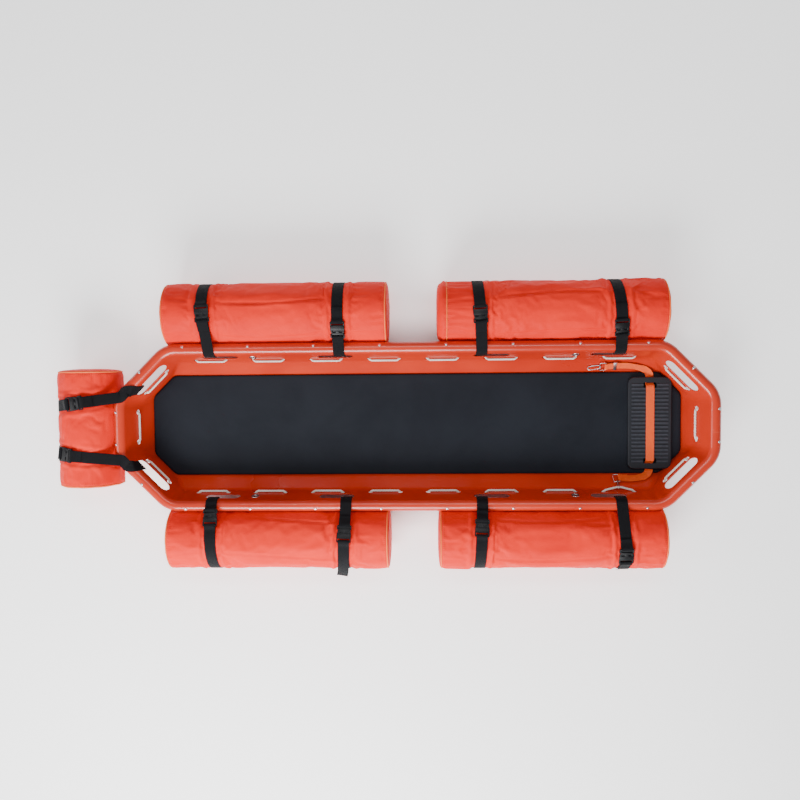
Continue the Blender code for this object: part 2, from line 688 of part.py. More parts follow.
def build_end_straps():
    """The head roll's straps lie askew over the rim and dive through the near ends of the hand holes."""
    for name, sy, place, tail in END_STRAPS:
        loop, spot, normal, toward = taut_loop(place, (-0.030, 0.115), -0.004, ROLL_R + 0.0036, slack=0.0005)

        def place_3d(p, sy=sy):
            return Vector((TUB_X - RIM_X - p[0], sy * (END_STRAP_Y - END_STRAP_LEAN * p[0]), p[1]))

        def swap(points, widths, sy=sy):
            top = min(i for i, p in enumerate(loop) if p.x < 0)
            low = min(i for i, p in enumerate(loop) if i > top and p.x > 0)
            out = Vector((-1, sy, 0)).normalized()
            slide = Vector((-1, -sy, 0)).normalized()
            rim = Vector((TUB_X - RIM_X + CHAMFER / 2, sy * (RIM_Y - CHAMFER / 2), 0)) + slide * HOLE_END

            def at(depth, z):
                return rim - out * depth + Vector((0, 0, z))

            through = [at(0.003, ROLL_Z + ROLL_R + 0.0034), at(0.0165, ROLL_Z + ROLL_R - 0.0015),
                       at(0.0242, ROLL_Z + 0.004), at(inset(CORNER, 0.150) + 0.0022, 0.150),
                       at(inset(CORNER, 0.142) - WALL / 2, 0.143), at(inset(CORNER, 0.134) - WALL - 0.006, 0.132)]
            ref = widths[0]
            turn = slide if slide.dot(ref) > 0 else -slide
            new = points[:top + 1] + through + points[low:]
            wide = widths[:top + 1] + [turn] * len(through) + widths[low:]
            return new, wide

        build_strap(name, place_3d, loop, spot, normal, toward, tail, swap)


# Foot rest

def build_foot_plate():
    """A ribbed tray, open below, with two strap slots and a notch in the skirt beside each."""
    hx, hy = PLATE_L / 2, PLATE_W / 2
    base = MAT_TOP + GAP

    def ring(shrink, z, radius):
        corners = [(-hx + shrink, -hy + shrink), (hx - shrink, -hy + shrink),
                   (hx - shrink, hy - shrink), (-hx + shrink, hy - shrink)]
        return [Vector((x + PLATE_X + TUB_X, y, base + z)) for x, y in rounded(corners, radius, 3)]

    bm = bmesh.new()
    top = PLATE_H - RIB_H
    loft(bm, [ring(PLATE_WALL, top - PLATE_WALL, 0.018), ring(PLATE_WALL, 0.0, 0.018), ring(0.0, 0.0, 0.022),
              ring(0.0, top - 0.003, 0.022), ring(0.001, top - 0.001, 0.021), ring(0.003, top, 0.019)])
    plate = add_node("foot_plate", "plate", bm, smooth=35)
    bm = bmesh.new()
    count = round((PLATE_W - 0.036) / RIB_PITCH)
    for k in range(count):
        y = (k - (count - 1) / 2) * RIB_PITCH
        spot = Matrix.Translation((PLATE_X, y, base))
        flat, crest = RIB_PITCH * 0.34, RIB_PITCH * 0.22
        x0 = hx - 0.012
        rings = [[spot @ Vector((x, s * e, z)) for s, e, z in
                  ((-1, flat, top - 0.001), (1, flat, top - 0.001), (1, crest, top + RIB_H), (-1, crest, top + RIB_H))]
                 for x in (-x0, x0)]
        loft(bm, rings)
    join(plate, bm, "ribs")
    bm = bmesh.new()
    for sy in (1, -1):
        prism(bm, rounded([(-FOOT_SLOT_L / 2, -FOOT_SLOT_W / 2), (FOOT_SLOT_L / 2, -FOOT_SLOT_W / 2),
                           (FOOT_SLOT_L / 2, FOOT_SLOT_W / 2), (-FOOT_SLOT_L / 2, FOOT_SLOT_W / 2)], 0.005, 2),
              [], top - 0.006, PLATE_H + 0.01, Matrix.Translation((PLATE_X, sy * FOOT_SLOT_Y, base)))
        prism(bm, [(-0.026, -0.008), (0.026, -0.008), (0.026, 0.008), (-0.026, 0.008)], [], -0.003, 0.0085,
              Matrix.Translation((PLATE_X, sy * hy, base)))
    cut(plate, bm, "strap_slots")
    plate.data.shade_smooth()
    plate.data.set_sharp_from_angle(angle=math.radians(35))
    return plate


def join(ob, bm, name):
    """Adds a body to ob by a union at once."""
    tool = cutter(bm, name)
    tool.location = (TUB_X, 0.0, 0.0)
    mod = ob.modifiers.new(name, "BOOLEAN")
    mod.operation, mod.solver, mod.object = "UNION", "EXACT", tool
    with bpy.context.temp_override(object=ob, active_object=ob, selected_objects=[ob]):
        bpy.context.view_layer.update()
        bpy.ops.object.modifier_apply(modifier=name)
    bpy.data.objects.remove(tool, do_unlink=True)


def face_strap():
    """The orange band over the plate, down both slots and out through the skirt's notches."""
    base, edge = MAT_TOP + GAP, PLATE_W / 2
    high = PLATE_H + GAP + FOOT_STRAP_T / 2 + 0.0002
    side = [(edge + 0.001, NOTCH_Z), (FOOT_SLOT_Y + 0.012, NOTCH_Z), (FOOT_SLOT_Y + 0.0035, NOTCH_Z + 0.003),
            (FOOT_SLOT_Y + 0.0015, high - 0.004), (FOOT_SLOT_Y - 0.002, high - 0.0006), (FOOT_SLOT_Y - 0.010, high)]
    points = side + [(-y, z) for y, z in side[::-1]]
    path = [Vector((PLATE_X + TUB_X, y, base + z)) for y, z in points]
    bm = bmesh.new()
    ribbon(bm, path, [Vector((1, 0, 0))] * len(path), FOOT_STRAP_W, FOOT_STRAP_T)
    add_node("foot_strap_face", "orange_webbing", bm, smooth=50)


def low_wall_frame(x, y, turn=0.0, height=0.0):
    """Frame on the lower wall: x towards the head, y up the slope, z off the wall; turn is about z in degrees."""
    sy = math.copysign(1, y)
    run, rise = FLOOR_IN[SIDE] - KNEE_IN[SIDE], KNEE_Z - FLOOR_Z
    slope = Vector((0, sy * run, rise)).normalized()
    normal = Vector((0, -sy * rise, run)).normalized()
    z = FLOOR_Z + (abs(y) - (RIM_Y - FLOOR_IN[SIDE])) * rise / run
    head = Vector((-1, 0, 0))
    frame = Matrix((head, slope, normal)).transposed().to_4x4()
    frame.translation = Vector((x + TUB_X, y, z)) + normal * height
    return frame @ Matrix.Rotation(math.radians(turn), 4, "Z")


def build_tail(name, spots, ring_frame, sy, back):
    """A band from the plate's notch along the lower wall, round the ring's near bar and back over itself.
    spots are (distance from the plate's middle, distance in from the rim, height off the wall)."""
    base = MAT_TOP + GAP
    path = [Vector((PLATE_X + TUB_X, sy * (PLATE_W / 2 + 0.0018), base + NOTCH_Z)),
            Vector((PLATE_X + TUB_X, sy * (PLATE_W / 2 + 0.0150), base + NOTCH_Z + 0.001))]
    wall = low_wall_frame(0.0, sy * 0.2).to_3x3() @ Vector((0, 0, 1))
    path += [low_wall_frame(PLATE_X - x, sy * (RIM_Y - y)).translation + wall * h for x, y, h in spots]
    fold = [(-0.004, -TAIL_DROP), (RING_BAR + 0.0005, -TAIL_DROP), (RING_BAR + 0.0022, -0.0018),
            (RING_BAR + 0.0022, 0.0018), (RING_BAR + 0.0005, TAIL_DROP), (-0.001, TAIL_DROP)]
    fold += [(-0.010, -TAIL_DROP + 0.0034), (-back, -TAIL_DROP + 0.0026)]
    path += [ring_frame @ Vector((a, 0.0, h)) for a, h in fold]
    flat = ring_frame.to_3x3() @ Vector((0, 1, 0))
    widths = [Vector((-sy, 0, 0)).normalized() * -1]
    for i in range(1, len(spots) + 2):
        along = (path[i + 1] - path[i - 1]).normalized()
        widths.append(wall.cross(along))
    if widths[1].dot(widths[0]) < 0:
        widths[0] = -widths[0]
    if flat.dot(widths[-1]) < 0:
        flat = -flat
    widths += [flat] * len(fold)
    bm = bmesh.new()
    ribbon(bm, path, widths, FOOT_STRAP_W - 0.002, FOOT_STRAP_T)
    add_node(name, "orange_webbing", bm, smooth=50)


def build_ring(name, frame, length, width):
    """A flat ring whose near bar is at x = 0."""
    def loop(shrink, radius):
        corners = [(shrink, -width / 2 + shrink), (length - shrink, -width / 2 + shrink),
                   (length - shrink, width / 2 - shrink), (shrink, width / 2 - shrink)]
        return rounded(corners, radius, 2)

    bm = bmesh.new()
    outer, inner = loop(0.0, 0.005), loop(RING_BAR, 0.002)
    half, soft = RING_BAR / 2, 0.0009
    skin = [(loop(soft, 0.0042), half), (outer, half - soft), (outer, -half + soft), (loop(soft, 0.0042), -half),
            (loop(RING_BAR - soft, 0.0028), -half), (inner, -half + soft), (inner, half - soft),
            (loop(RING_BAR - soft, 0.0028), half)]
    loft(bm, [[frame @ Vector((x, y, h)) for x, y in ring] for ring, h in skin], closed=True)
    add_node(name, "metal", bm, smooth=50)


def build_hook(name, near, far, normal):
    """A long snap hook round two bars: the body is a loop with a gap on one side, and a sprung gate shuts the gap."""
    axis = (far - near).normalized()
    normal = (normal - axis * normal.dot(axis)).normalized()
    side = normal.cross(axis)
    span = (far - near).length
    path = []
    start, stop = HOOK_GATE_AT, HOOK_GATE_AT + HOOK_GATE_L
    path.append(near + axis * (start - HOOK_GAP) + side * HOOK_LOOP_R)
    for centre, first in ((near, 90), (far, -90)):
        for k in range(7):
            t = math.radians(first + 30 * k)
            path.append(centre + axis * math.cos(t) * HOOK_LOOP_R + side * math.sin(t) * HOOK_LOOP_R)
    path.append(near + axis * (stop + HOOK_GAP) + side * HOOK_LOOP_R)
    bm = bmesh.new()
    round_bar(bm, path, HOOK_R, 8, up=normal)
    add_node(name, "metal", bm, smooth=60)
    pivot = near + axis * (start + HOOK_R) + side * HOOK_LOOP_R
    bm = bmesh.new()
    gate = [near + axis * d + side * HOOK_LOOP_R for d in (start, start + 0.004, stop - 0.003, stop)]
    round_bar(bm, gate, HOOK_R - 0.0003, 8, up=normal)
    add_node(name.replace("hook", "hook_gate"), "metal", bm, smooth=60, origin=pivot)
    return pivot, normal


def build_slider(frame):
    """A flat metal keeper round both layers of the left tail."""
    w, low, high = FOOT_STRAP_W / 2 + 0.0035, -TAIL_DROP - 0.0026, -TAIL_DROP + 0.0058
    outline = [(-w, low), (w, low), (w, high), (-w, high)]
    hole = [(-w + 0.0022, low + 0.0012), (w - 0.0022, low + 0.0012), (w - 0.0022, high - 0.0012),
            (-w + 0.0022, high - 0.0012)]
    turn = Matrix(((0, 0, 1, 0), (1, 0, 0, 0), (0, 1, 0, 0), (0, 0, 0, 1)))
    bm = bmesh.new()
    prism(bm, outline, [hole], -0.037, -0.025, frame @ turn)
    add_node("strap_slider_left", "metal", bm, smooth=30)


def build_tail_hardware():
    ring_l, ring_w = 0.026, 0.040
    frame = low_wall_frame(PLATE_X - 0.160, RIM_Y - 0.0675, height=0.0085, turn=-4.0)
    build_tail("foot_strap_tail_left",
               [(0.0075, 0.0805, 0.0085), (0.0230, 0.0720, 0.0048), (0.045, 0.0675, 0.0044),
                (0.080, 0.0660, 0.0048), (0.125, 0.0660, 0.0053)], frame, 1, 0.050)
    build_ring("ring_left", frame, ring_l, ring_w)
    build_slider(frame)
    near = frame @ Vector((ring_l - RING_BAR / 2 + HOOK_SEAT, 0.0, 0.0))
    far = frame @ Vector((ring_l - RING_BAR / 2 + 0.036, -0.004, 0.0005))
    tilt = frame.to_3x3() @ Vector((0.0, 0.75, 0.66))
    build_hook("hook_left", near, far, tilt)

    frame = low_wall_frame(PLATE_X - 0.1085, 0.074 - RIM_Y, height=0.0095, turn=4.0)
    build_tail("foot_strap_tail_right",
               [(0.0075, 0.0810, 0.0085), (0.0230, 0.0740, 0.0048), (0.045, 0.0715, 0.0046),
                (0.075, 0.0725, 0.0055)], frame, -1, 0.030)
    build_ring("ring_right", frame, ring_l, ring_w - 0.004)
    near = frame @ Vector((ring_l / 2, (ring_w - 0.004 - RING_BAR) / 2, 0.0))
    rope = on_tub(wall_frame(SIDE, ROPE_PITCH * 3.5, ROPE_Z, sy=-1))
    far = rope.translation - rope.to_3x3() @ Vector((0, 0, ROPE_BULGE))
    far.x = near.x
    near += (far - near).normalized() * HOOK_SEAT
    build_hook("hook_right", near, far, Vector((1, 0, 0)))


def main():
    clear_scene()
    build_shell()
    build_frame_tube()
    build_grommets()
    build_runners()
    build_rope()
    build_mat()
    build_floats()
    build_side_straps()
    build_end_straps()
    build_foot_plate()
    face_strap()
    build_tail_hardware()


main()
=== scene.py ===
"""Floating rescue stretcher, dressed over its solid model."""

import json
from bisect import bisect_right
from functools import partialmethod
from math import acos, atan2, ceil, copysign, cos, exp, hypot, pi, radians, sin, sqrt, tan

import bmesh
import bpy
from mathutils import Matrix, Vector, noise


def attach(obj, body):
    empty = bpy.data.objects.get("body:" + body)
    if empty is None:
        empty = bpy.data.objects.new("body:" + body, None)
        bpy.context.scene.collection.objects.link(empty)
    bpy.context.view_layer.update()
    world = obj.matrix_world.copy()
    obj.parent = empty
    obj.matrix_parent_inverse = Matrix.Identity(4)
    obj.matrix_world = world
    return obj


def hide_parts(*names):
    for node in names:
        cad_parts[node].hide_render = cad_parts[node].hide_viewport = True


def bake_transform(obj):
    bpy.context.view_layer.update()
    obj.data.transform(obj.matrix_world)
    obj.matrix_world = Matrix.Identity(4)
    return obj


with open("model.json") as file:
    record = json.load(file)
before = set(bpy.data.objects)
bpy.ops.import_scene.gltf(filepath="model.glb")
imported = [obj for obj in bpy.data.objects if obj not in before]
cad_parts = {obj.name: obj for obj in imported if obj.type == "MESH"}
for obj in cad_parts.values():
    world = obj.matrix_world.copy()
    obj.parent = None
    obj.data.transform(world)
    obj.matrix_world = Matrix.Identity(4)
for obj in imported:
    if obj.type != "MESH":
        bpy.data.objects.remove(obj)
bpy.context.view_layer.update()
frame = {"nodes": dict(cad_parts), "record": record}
nodes = frame["nodes"]
scene, ops = bpy.context.scene, bmesh.ops

# Sizes shared with the solid model, in metres
GAP = 0.0003
LENGTH, WIDTH = 2.16, 0.605
ROLL_R, ROLL_Z, WALL = 0.0215, 0.163, 0.004
FLOOR_Z, KNEE_Z = 0.016, 0.09
FLOOR_IN = {"side": 0.116, "end": 0.092, "corner": 0.06}
KNEE_IN = {"side": 0.044, "end": 0.053, "corner": 0.049}
CHAMFER, FILLET = 0.1734, 0.09
RIM_X, RIM_Y = LENGTH / 2 - ROLL_R, WIDTH / 2 - ROLL_R
TOP_IN = -ROLL_R * cos(radians(162.0))
TOP_Z = ROLL_Z + ROLL_R * sin(radians(162.0))
ROPE_R, ROPE_Z, ROPE_PITCH, ROPE_SPAN, ROPE_BULGE = 0.004, 0.107, 0.211, 0.11, 0.015
FLOAT_R, FLOAT_Z = 0.11, 0.114
RIM_TO_FLOAT = ROLL_R + FLOAT_R + 0.0035
FLOAT_OUT = sqrt(RIM_TO_FLOAT ** 2 - (ROLL_Z - FLOAT_Z) ** 2)
STRAP_W, STRAP_T = 0.04, 0.002
BUCKLE_L, BUCKLE_W, BUCKLE_T, BUCKLE_LIFT, BAR = 0.062, 0.052, 0.007, 0.0016, 0.005
# Straps: name, place along the side, side, buckle's place out from the rim, drift along the side, loose end
SIDE_STRAPS = (
    ("left_head_1", -0.728, 1, 0.000, -0.016, 0.05), ("left_head_2", -0.262, 1, -0.06, 0.000, 0.045),
    ("left_foot_1", 0.243, 1, -0.012, -0.014, 0.06), ("left_foot_2", 0.728, 1, -0.062, -0.016, 0.05),
    ("right_head_1", -0.728, -1, -0.088, 0.006, 0.05), ("right_head_2", -0.243, -1, -0.033, -0.01, 0.075),
    ("right_foot_1", 0.243, -1, -0.052, -0.01, 0.05), ("right_foot_2", 0.733, -1, 0.044, 0.01, 0.07))
# Straps over the end roll: name, side, buckle's place, loose end
END_STRAPS = (("head_left", 1, 0.012, 0.045), ("head_right", -1, 0.052, 0.055))
END_STRAP_Y, END_STRAP_LEAN, HOLE_END = 0.112, 0.129, 0.054
MAT_TOP = FLOOR_Z + GAP + 0.03
PLATE_H = 0.018
PLATE_W, PLATE_X = 2 * (RIM_Y - 0.113), RIM_X - 0.1985
FOOT_SLOT_Y, FOOT_STRAP_T, FOOT_BAND_T = 0.138, 0.0018, 0.0016
NOTCH_Z, RING_BAR, TAIL_DROP = 0.0045, 0.0035, 0.0032
HEAD_REACH = FLOAT_OUT + FLOAT_R + GAP + STRAP_T + 0.0007 - ROLL_R
TUB_X = HEAD_REACH / 2
# Openings in the wall: places, then radius, half of the straight part and points round
SLOT_X, SLOT_Z, SLOT_CUT = (-0.695, -0.28, 0.28, 0.695), 0.139, (0.017, 0.0465)
EYE_X, EYE_HOLE, ROPE_HOLE = 0.578, 0.01, (0.009, 0, 16)
HAND_Z, HAND_CUT = 0.1395, (0.0225, 0.0525, 24)
ROLL_X, SIDE_HALF, END_HALF = 0.49, 0.4, 0.21
WEB_T, FOLD_LIFT, HANG, PIPE_R = 0.0017, 0.0034, 0.09, 0.0026
UP = Vector((0, 0, 1))


# Camera, placed as the photo was taken: almost straight down, a little askew

CAMERA = (0.0638 + TUB_X, 0.2356, 3.0256)
TILT, SWING, ROLL, FOCAL = -0.0492, 0.0383, -0.009, 805.5
PHOTO_SIDE, SENSOR = 800, 36.0


def placed(name, data):
    ob = bpy.data.objects.new(name, data)
    scene.collection.objects.link(ob)
    return ob


def place_camera():
    camera = bpy.data.cameras.new("camera")
    camera.sensor_width = SENSOR
    camera.lens = FOCAL / PHOTO_SIDE * SENSOR
    ob = placed("camera", camera)
    ob.matrix_world = Matrix.Translation(CAMERA) @ (
        Matrix.Rotation(ROLL, 4, "Z") @ Matrix.Rotation(SWING, 4, "Y") @ Matrix.Rotation(TILT, 4, "X"))
    scene.camera = ob


# Shader maths as Python expressions

class Level:
    """A shader socket that varies over a surface. Sums on it become Math nodes."""

    def __init__(self, finish, socket):
        self.finish, self.socket = finish, socket

    def sum(self, how, other=0.0, swap=False):
        pair = (other, self) if swap else (self, other)
        return self.finish.add("Math", {"operation": how}, dict(enumerate(pair)))

    __add__ = __radd__ = partialmethod(sum, "ADD")
    __mul__ = __rmul__ = partialmethod(sum, "MULTIPLY")
    __sub__, __rsub__ = partialmethod(sum, "SUBTRACT"), partialmethod(sum, "SUBTRACT", swap=True)
    __truediv__ = partialmethod(sum, "DIVIDE")
    sine, size = partialmethod(sum, "SINE"), partialmethod(sum, "ABSOLUTE")

    def between(self, low, high):
        """0 below low and 1 above high, eased in between."""
        return self.finish.add("MapRange", {"interpolation_type": "SMOOTHSTEP"},
                               {"Value": self, "From Min": low, "From Max": high})


class Finish:
    """A material with one Principled shader."""

    def __init__(self, name, **constants):
        self.material = bpy.data.materials.new(name)
        self.material.use_nodes = True
        self.tree = self.material.node_tree
        self.shader = self.tree.nodes["Principled BSDF"]
        self.set(**constants)
        self.where = self.spot()

    def link(self, socket, value):
        if isinstance(value, Level):
            self.tree.links.new(value.socket, socket)
        elif socket.type == "RGBA":
            socket.default_value = (*value, 1.0)
        else:
            socket.default_value = value

    def add(self, kind, settings, values, output=0):
        """A node with its settings and its inputs, given back as one of its outputs."""
        node = self.tree.nodes.new("ShaderNode" + kind)
        for key, value in settings.items():
            setattr(node, key, value)
        for key, value in values.items():
            self.link(node.inputs[key], value)
        return Level(self, node.outputs[output])

    def set(self, **values):
        """Sets the shader's inputs, with _ for each space in a name."""
        for key, value in values.items():
            self.link(self.shader.inputs[key.replace("_", " ")], value)
        return self.material

    def spot(self, scale=(1.0, 1.0, 1.0), strip=False):
        """Object coordinates, or a band's own (across, along) map, stretched by scale."""
        where = self.add("UVMap", {"uv_map": "strip"}, {}) if strip else self.add("TexCoord", {}, {}, "Object")
        return self.add("Mapping", {}, {"Vector": where, "Scale": scale})

    def noise(self, scale, detail=3.0, rough=0.55, twist=0.0, where=None):
        return self.add("TexNoise", {}, {"Vector": where or self.where, "Scale": scale, "Detail": detail,
                                         "Roughness": rough, "Distortion": twist}, "Fac")

    def cells(self, scale, feature="F1", where=None):
        values = {"Vector": where or self.where, "Scale": scale}
        return self.add("TexVoronoi", {"feature": feature}, values, "Distance")

    def axis(self, name, where=None):
        return self.add("SeparateXYZ", {}, {0: where or self.where}, name)

    def mix(self, fac, a, b):
        """A colour between a and b. The Mix node's colour sockets are the third set, at 6, 7 and output 2."""
        return self.add("Mix", {"data_type": "RGBA"}, {0: fac, 6: a, 7: b}, 2)

    def relief(self, height, depth, strength, under=None):
        values = {"Height": height, "Distance": depth, "Strength": strength}
        if under is not None:
            values["Normal"] = under
        return self.add("Bump", {}, values)


# Finishes

WEAVE, STITCH_IN, STITCH_PITCH = 3400.0, 0.0085, 0.0072
FOLD_PITCH, RIB_PITCH, CORD_PITCH = 0.0075, 0.0021, 0.0016

def tub_plastic():
    """Glossy moulded plastic: slight orange peel, faint cloudiness, fine scuffs on what stands proud, and
    painted shade towards the tub's floor.
    """
    f = Finish("tub_plastic", Coat_Weight=0.3, Coat_Roughness=0.14, Specular_IOR_Level=0.4)
    cloud = f.noise(3.0, 4.0)
    colour = f.mix(cloud.between(0.3, 0.72), (0.46, 0.02, 0.0045), (0.58, 0.032, 0.0075))
    speck = f.noise(420.0, 2.0)
    colour = f.mix(speck.between(0.6, 0.78) * 0.16, colour, (0.7, 0.1, 0.04))
    scratch = f.noise(1.0, 2.0, 0.5, 0.6, f.spot((14.0, 260.0, 120.0)))
    scratch = scratch.between(0.665, 0.72) * f.noise(7.0, 2.0).between(0.5, 0.66)
    height = f.axis("Z")
    worn = scratch * (0.25 + 0.75 * height.between(0.165, 0.183))
    colour = f.mix(worn * 0.55, colour, (0.8, 0.22, 0.13))
    # Painted shade: the plastic is coloured darker towards the tub's floor, in patches with the cloud.
    low = 1.0 - height.between(0.012, 0.06)
    colour = f.mix(low * cloud * 0.35, colour, (0.3, 0.014, 0.004))
    f.set(Base_Color=colour, Roughness=0.23 + cloud * 0.12 + worn * 0.3)
    peel = f.relief(f.noise(160.0, 2.0), 0.00022, 0.35)
    return f.set(Normal=f.relief(f.noise(9.0, 2.0), 0.0016, 0.3, peel))


def coated_cloth(name, deep, bright, strength=1.0, sewn=False):
    """Coated nylon with a plain weave. Where sewn, stitches beside each end seam pucker it."""
    f = Finish(name, Sheen_Weight=0.02, Sheen_Roughness=0.4, Specular_IOR_Level=0.14)
    broad = f.noise(5.5, 4.0, 0.6, 0.3)
    fine = f.noise(900.0, 2.0)
    colour = f.mix(broad.between(0.28, 0.72), deep, bright)
    colour = f.mix(fine.between(0.45, 0.75) * 0.22, colour, tuple(c * 0.72 for c in deep))
    if sewn:
        band_map = f.spot(strip=True)
        gap = f.axis("Y", band_map)
        dash = (f.axis("X", band_map) * 2.0 * pi / STITCH_PITCH).sine()
        stitch = (1.0 - (gap - STITCH_IN).size().between(0.0004, 0.0009)) * dash.between(-0.35, -0.1)
        colour = f.mix(stitch * 0.75, colour, (0.93, 0.085, 0.035))
        pucker = (1.0 - (gap - STITCH_IN).size().between(0.0015, 0.012)) * dash
    f.set(Base_Color=colour, Roughness=0.52 + broad * 0.16)
    weave = (f.axis("X") * WEAVE).sine() * ((f.axis("Y") + f.axis("Z")) * WEAVE).sine()
    weave = f.relief(weave, 0.00012, 0.28 * strength)
    crease = f.cells(1.0, "SMOOTH_F1", f.spot((7.0, 11.0, 11.0)))
    crinkle = f.relief(f.noise(38.0, 3.0, 0.6, 0.8) + crease * 0.4, 0.0022, 0.34 * strength, weave)
    if sewn:
        crinkle = f.relief(pucker * 0.35 + stitch, 0.0007, 0.8, crinkle)
    return f.set(Normal=crinkle)


def webbing(name, deep, bright):
    """Woven band on its own map: herringbone ribs across, thick selvedges, a thread's sheen, and painted
    highlight and shade along the weave.
    """
    f = Finish(name, Sheen_Weight=0.03, Sheen_Roughness=0.45, Specular_IOR_Level=0.15)
    strip = f.spot(strip=True)
    across, along = f.axis("X", strip), f.axis("Y", strip)
    fold = (across * 2.0 * pi / FOLD_PITCH).sine().size()
    rib = ((along + fold * 0.0012) * 2.0 * pi / RIB_PITCH).sine()
    cord = (across * 2.0 * pi / CORD_PITCH).sine()
    thread = rib * 0.7 + cord * 0.3
    worn = f.noise(60.0, 4.0, 0.6)
    # Painted highlight and shade: raised threads are coloured lighter and the hollows between them darker,
    # mixed with patchy wear.
    shade = (thread * 0.5 + 0.5) * (0.35 + worn * 0.9)
    f.set(Base_Color=f.mix(shade.sum("MINIMUM", 1.0), deep, bright), Roughness=0.62 + worn * 0.25)
    return f.set(Normal=f.relief(thread, 0.00035, 0.75, f.relief(worn, 0.001, 0.25)))


def mat_skin():
    """Dark closed-cell foam with a fine leather grain and soft dents."""
    f = Finish("mat_skin", Specular_IOR_Level=0.14)
    broad = f.noise(3.4, 4.0, 0.6, 0.4)
    grain = f.cells(620.0, "SMOOTH_F1")
    colour = f.mix(broad.between(0.3, 0.7), (0.007, 0.0088, 0.0135), (0.011, 0.0135, 0.0195))
    dust = f.noise(240.0, 3.0).between(0.62, 0.8)
    colour = f.mix(dust * 0.3, colour, (0.03, 0.033, 0.04))
    f.set(Base_Color=colour, Roughness=0.5 + broad * 0.22)
    pores = f.relief(grain, 0.0005, 0.55)
    return f.set(Normal=f.relief(f.noise(14.0, 3.0, 0.5, 0.5), 0.0035, 0.3, pores))


def moulded(name, deep, bright, rough, grain=700.0, depth=0.00025):
    """Moulded plastic with a spark-eroded texture, polished a little on its high spots."""
    f = Finish(name, Specular_IOR_Level=0.28)
    broad, fine = f.noise(22.0, 3.0), f.noise(grain, 2.0)
    scuff = f.noise(1.0, 2.0, where=f.spot((40.0, 520.0, 300.0))).between(0.63, 0.7)
    colour = f.mix(broad, deep, bright)
    f.set(Base_Color=f.mix(scuff * 0.3, colour, tuple(0.025 + c for c in bright)),
          Roughness=rough + broad * 0.16 + scuff * 0.12)
    return f.set(Normal=f.relief(fine, depth, 0.5))


def plate_plastic():
    """The foot rest's tough plastic: grippy grain, a painted highlight along the crests of the ribs, and
    patches there rubbed paler.
    """
    f = Finish("plate_plastic", Specular_IOR_Level=0.3)
    height = f.axis("Z")
    broad = f.noise(16.0, 3.0)
    top = MAT_TOP + GAP + PLATE_H
    crest_highlight_and_rub = height.between(top - 0.0012, top)
    colour = f.mix(broad, (0.009, 0.01, 0.014), (0.018, 0.02, 0.026))
    # Painted highlight: the tops of the ribs are coloured paler all along; rub then adds patches of real wear
    # on them.
    colour = f.mix(crest_highlight_and_rub * 0.7, colour, (0.034, 0.037, 0.048))
    rub = crest_highlight_and_rub * f.noise(90.0, 3.0).between(0.36, 0.62)
    f.set(Base_Color=f.mix(rub * 0.4, colour, (0.05, 0.053, 0.067)),
          Roughness=0.46 + broad * 0.14 - rub * 0.12)
    return f.set(Normal=f.relief(f.noise(820.0, 2.0), 0.0003, 0.6))


def metal(name, colour, rough, brushed=(1.0, 1.0, 1.0)):
    """Polished or brushed metal with hairlines and a little grime."""
    f = Finish(name, Metallic=1.0)
    broad = f.noise(60.0, 3.0)
    hair = f.noise(1.0, 2.0, where=f.spot(tuple(900.0 * b for b in brushed)))
    dark = tuple(c * 0.55 for c in colour)
    f.set(Base_Color=f.mix(broad.between(0.52, 0.8) * 0.35, colour, dark),
          Roughness=rough + broad * 0.14 + hair * 0.05)
    return f.set(Normal=f.relief(hair, 0.00006, 0.5))


def rope_yarn():
    """Twisted white rope: yarns wound along the strands, grey in the hollows as painted shade."""
    f = Finish("rope_yarn", Sheen_Weight=0.25, Sheen_Roughness=0.5, Specular_IOR_Level=0.3)
    strip = f.spot(strip=True)
    yarn = ((f.axis("X", strip) * 3.0 + f.axis("Y", strip) * 620.0) * 2.0).sine()
    soil = f.noise(18.0, 4.0, 0.6)
    colour = f.mix(soil.between(0.35, 0.75) * 0.5, (0.86, 0.84, 0.78), (0.62, 0.57, 0.48))
    # Painted shade: the yarn pattern greys the rope along its relief.
    colour = f.mix((yarn * 0.5 + 0.5) * 0.22, colour, (0.5, 0.46, 0.4))
    f.set(Base_Color=colour, Roughness=0.8 - soil * 0.12)
    return f.set(Normal=f.relief(yarn, 0.0003, 0.7))


def foam_cell():
    f = Finish("foam_cell", Roughness=0.9)
    cell = f.cells(380.0)
    return f.set(Base_Color=f.mix(cell, (0.62, 0.61, 0.56), (0.84, 0.83, 0.78)),
                 Normal=f.relief(cell, 0.0008, 0.6))


def glowing_floor_paint():
    """White matt paint that glows round the stretcher as painted light; the glow is left out underneath, which
    makes a painted shadow there.
    """
    f = Finish("glowing_floor_paint", Roughness=0.75, Specular_IOR_Level=0.2, Emission_Strength=0.8)
    # Where the painted glow shines: beside the stretcher and past its ends.
    beside = f.axis("Y").size().between(0.3, 0.42)
    beyond = (f.axis("X") - TUB_X).size().between(0.84, 0.9)
    f.set(Base_Color=f.mix(f.noise(1.3, 2.0), (0.93, 0.93, 0.93), (0.955, 0.955, 0.955)))
    # Painted light outside the stretcher's footprint, almost none under it: a painted shadow beneath the tub.
    return f.set(Emission_Color=f.mix(beside.sum("MAXIMUM", beyond), (0.02, 0.02, 0.02), (1.0, 1.0, 1.0)))


# Shape helpers

def clip(value, low=0.0, high=1.0):
    return min(max(value, low), high)


def wobble(x, y, z):
    return noise.noise(Vector((x, y, z)))


def formed(name, bm):
    """A plain object from a bmesh."""
    mesh = bpy.data.meshes.new(name)
    bm.to_mesh(mesh)
    bm.free()
    return placed(name, mesh)


def paint(mesh, material):
    mesh.materials.clear()
    mesh.materials.append(material)


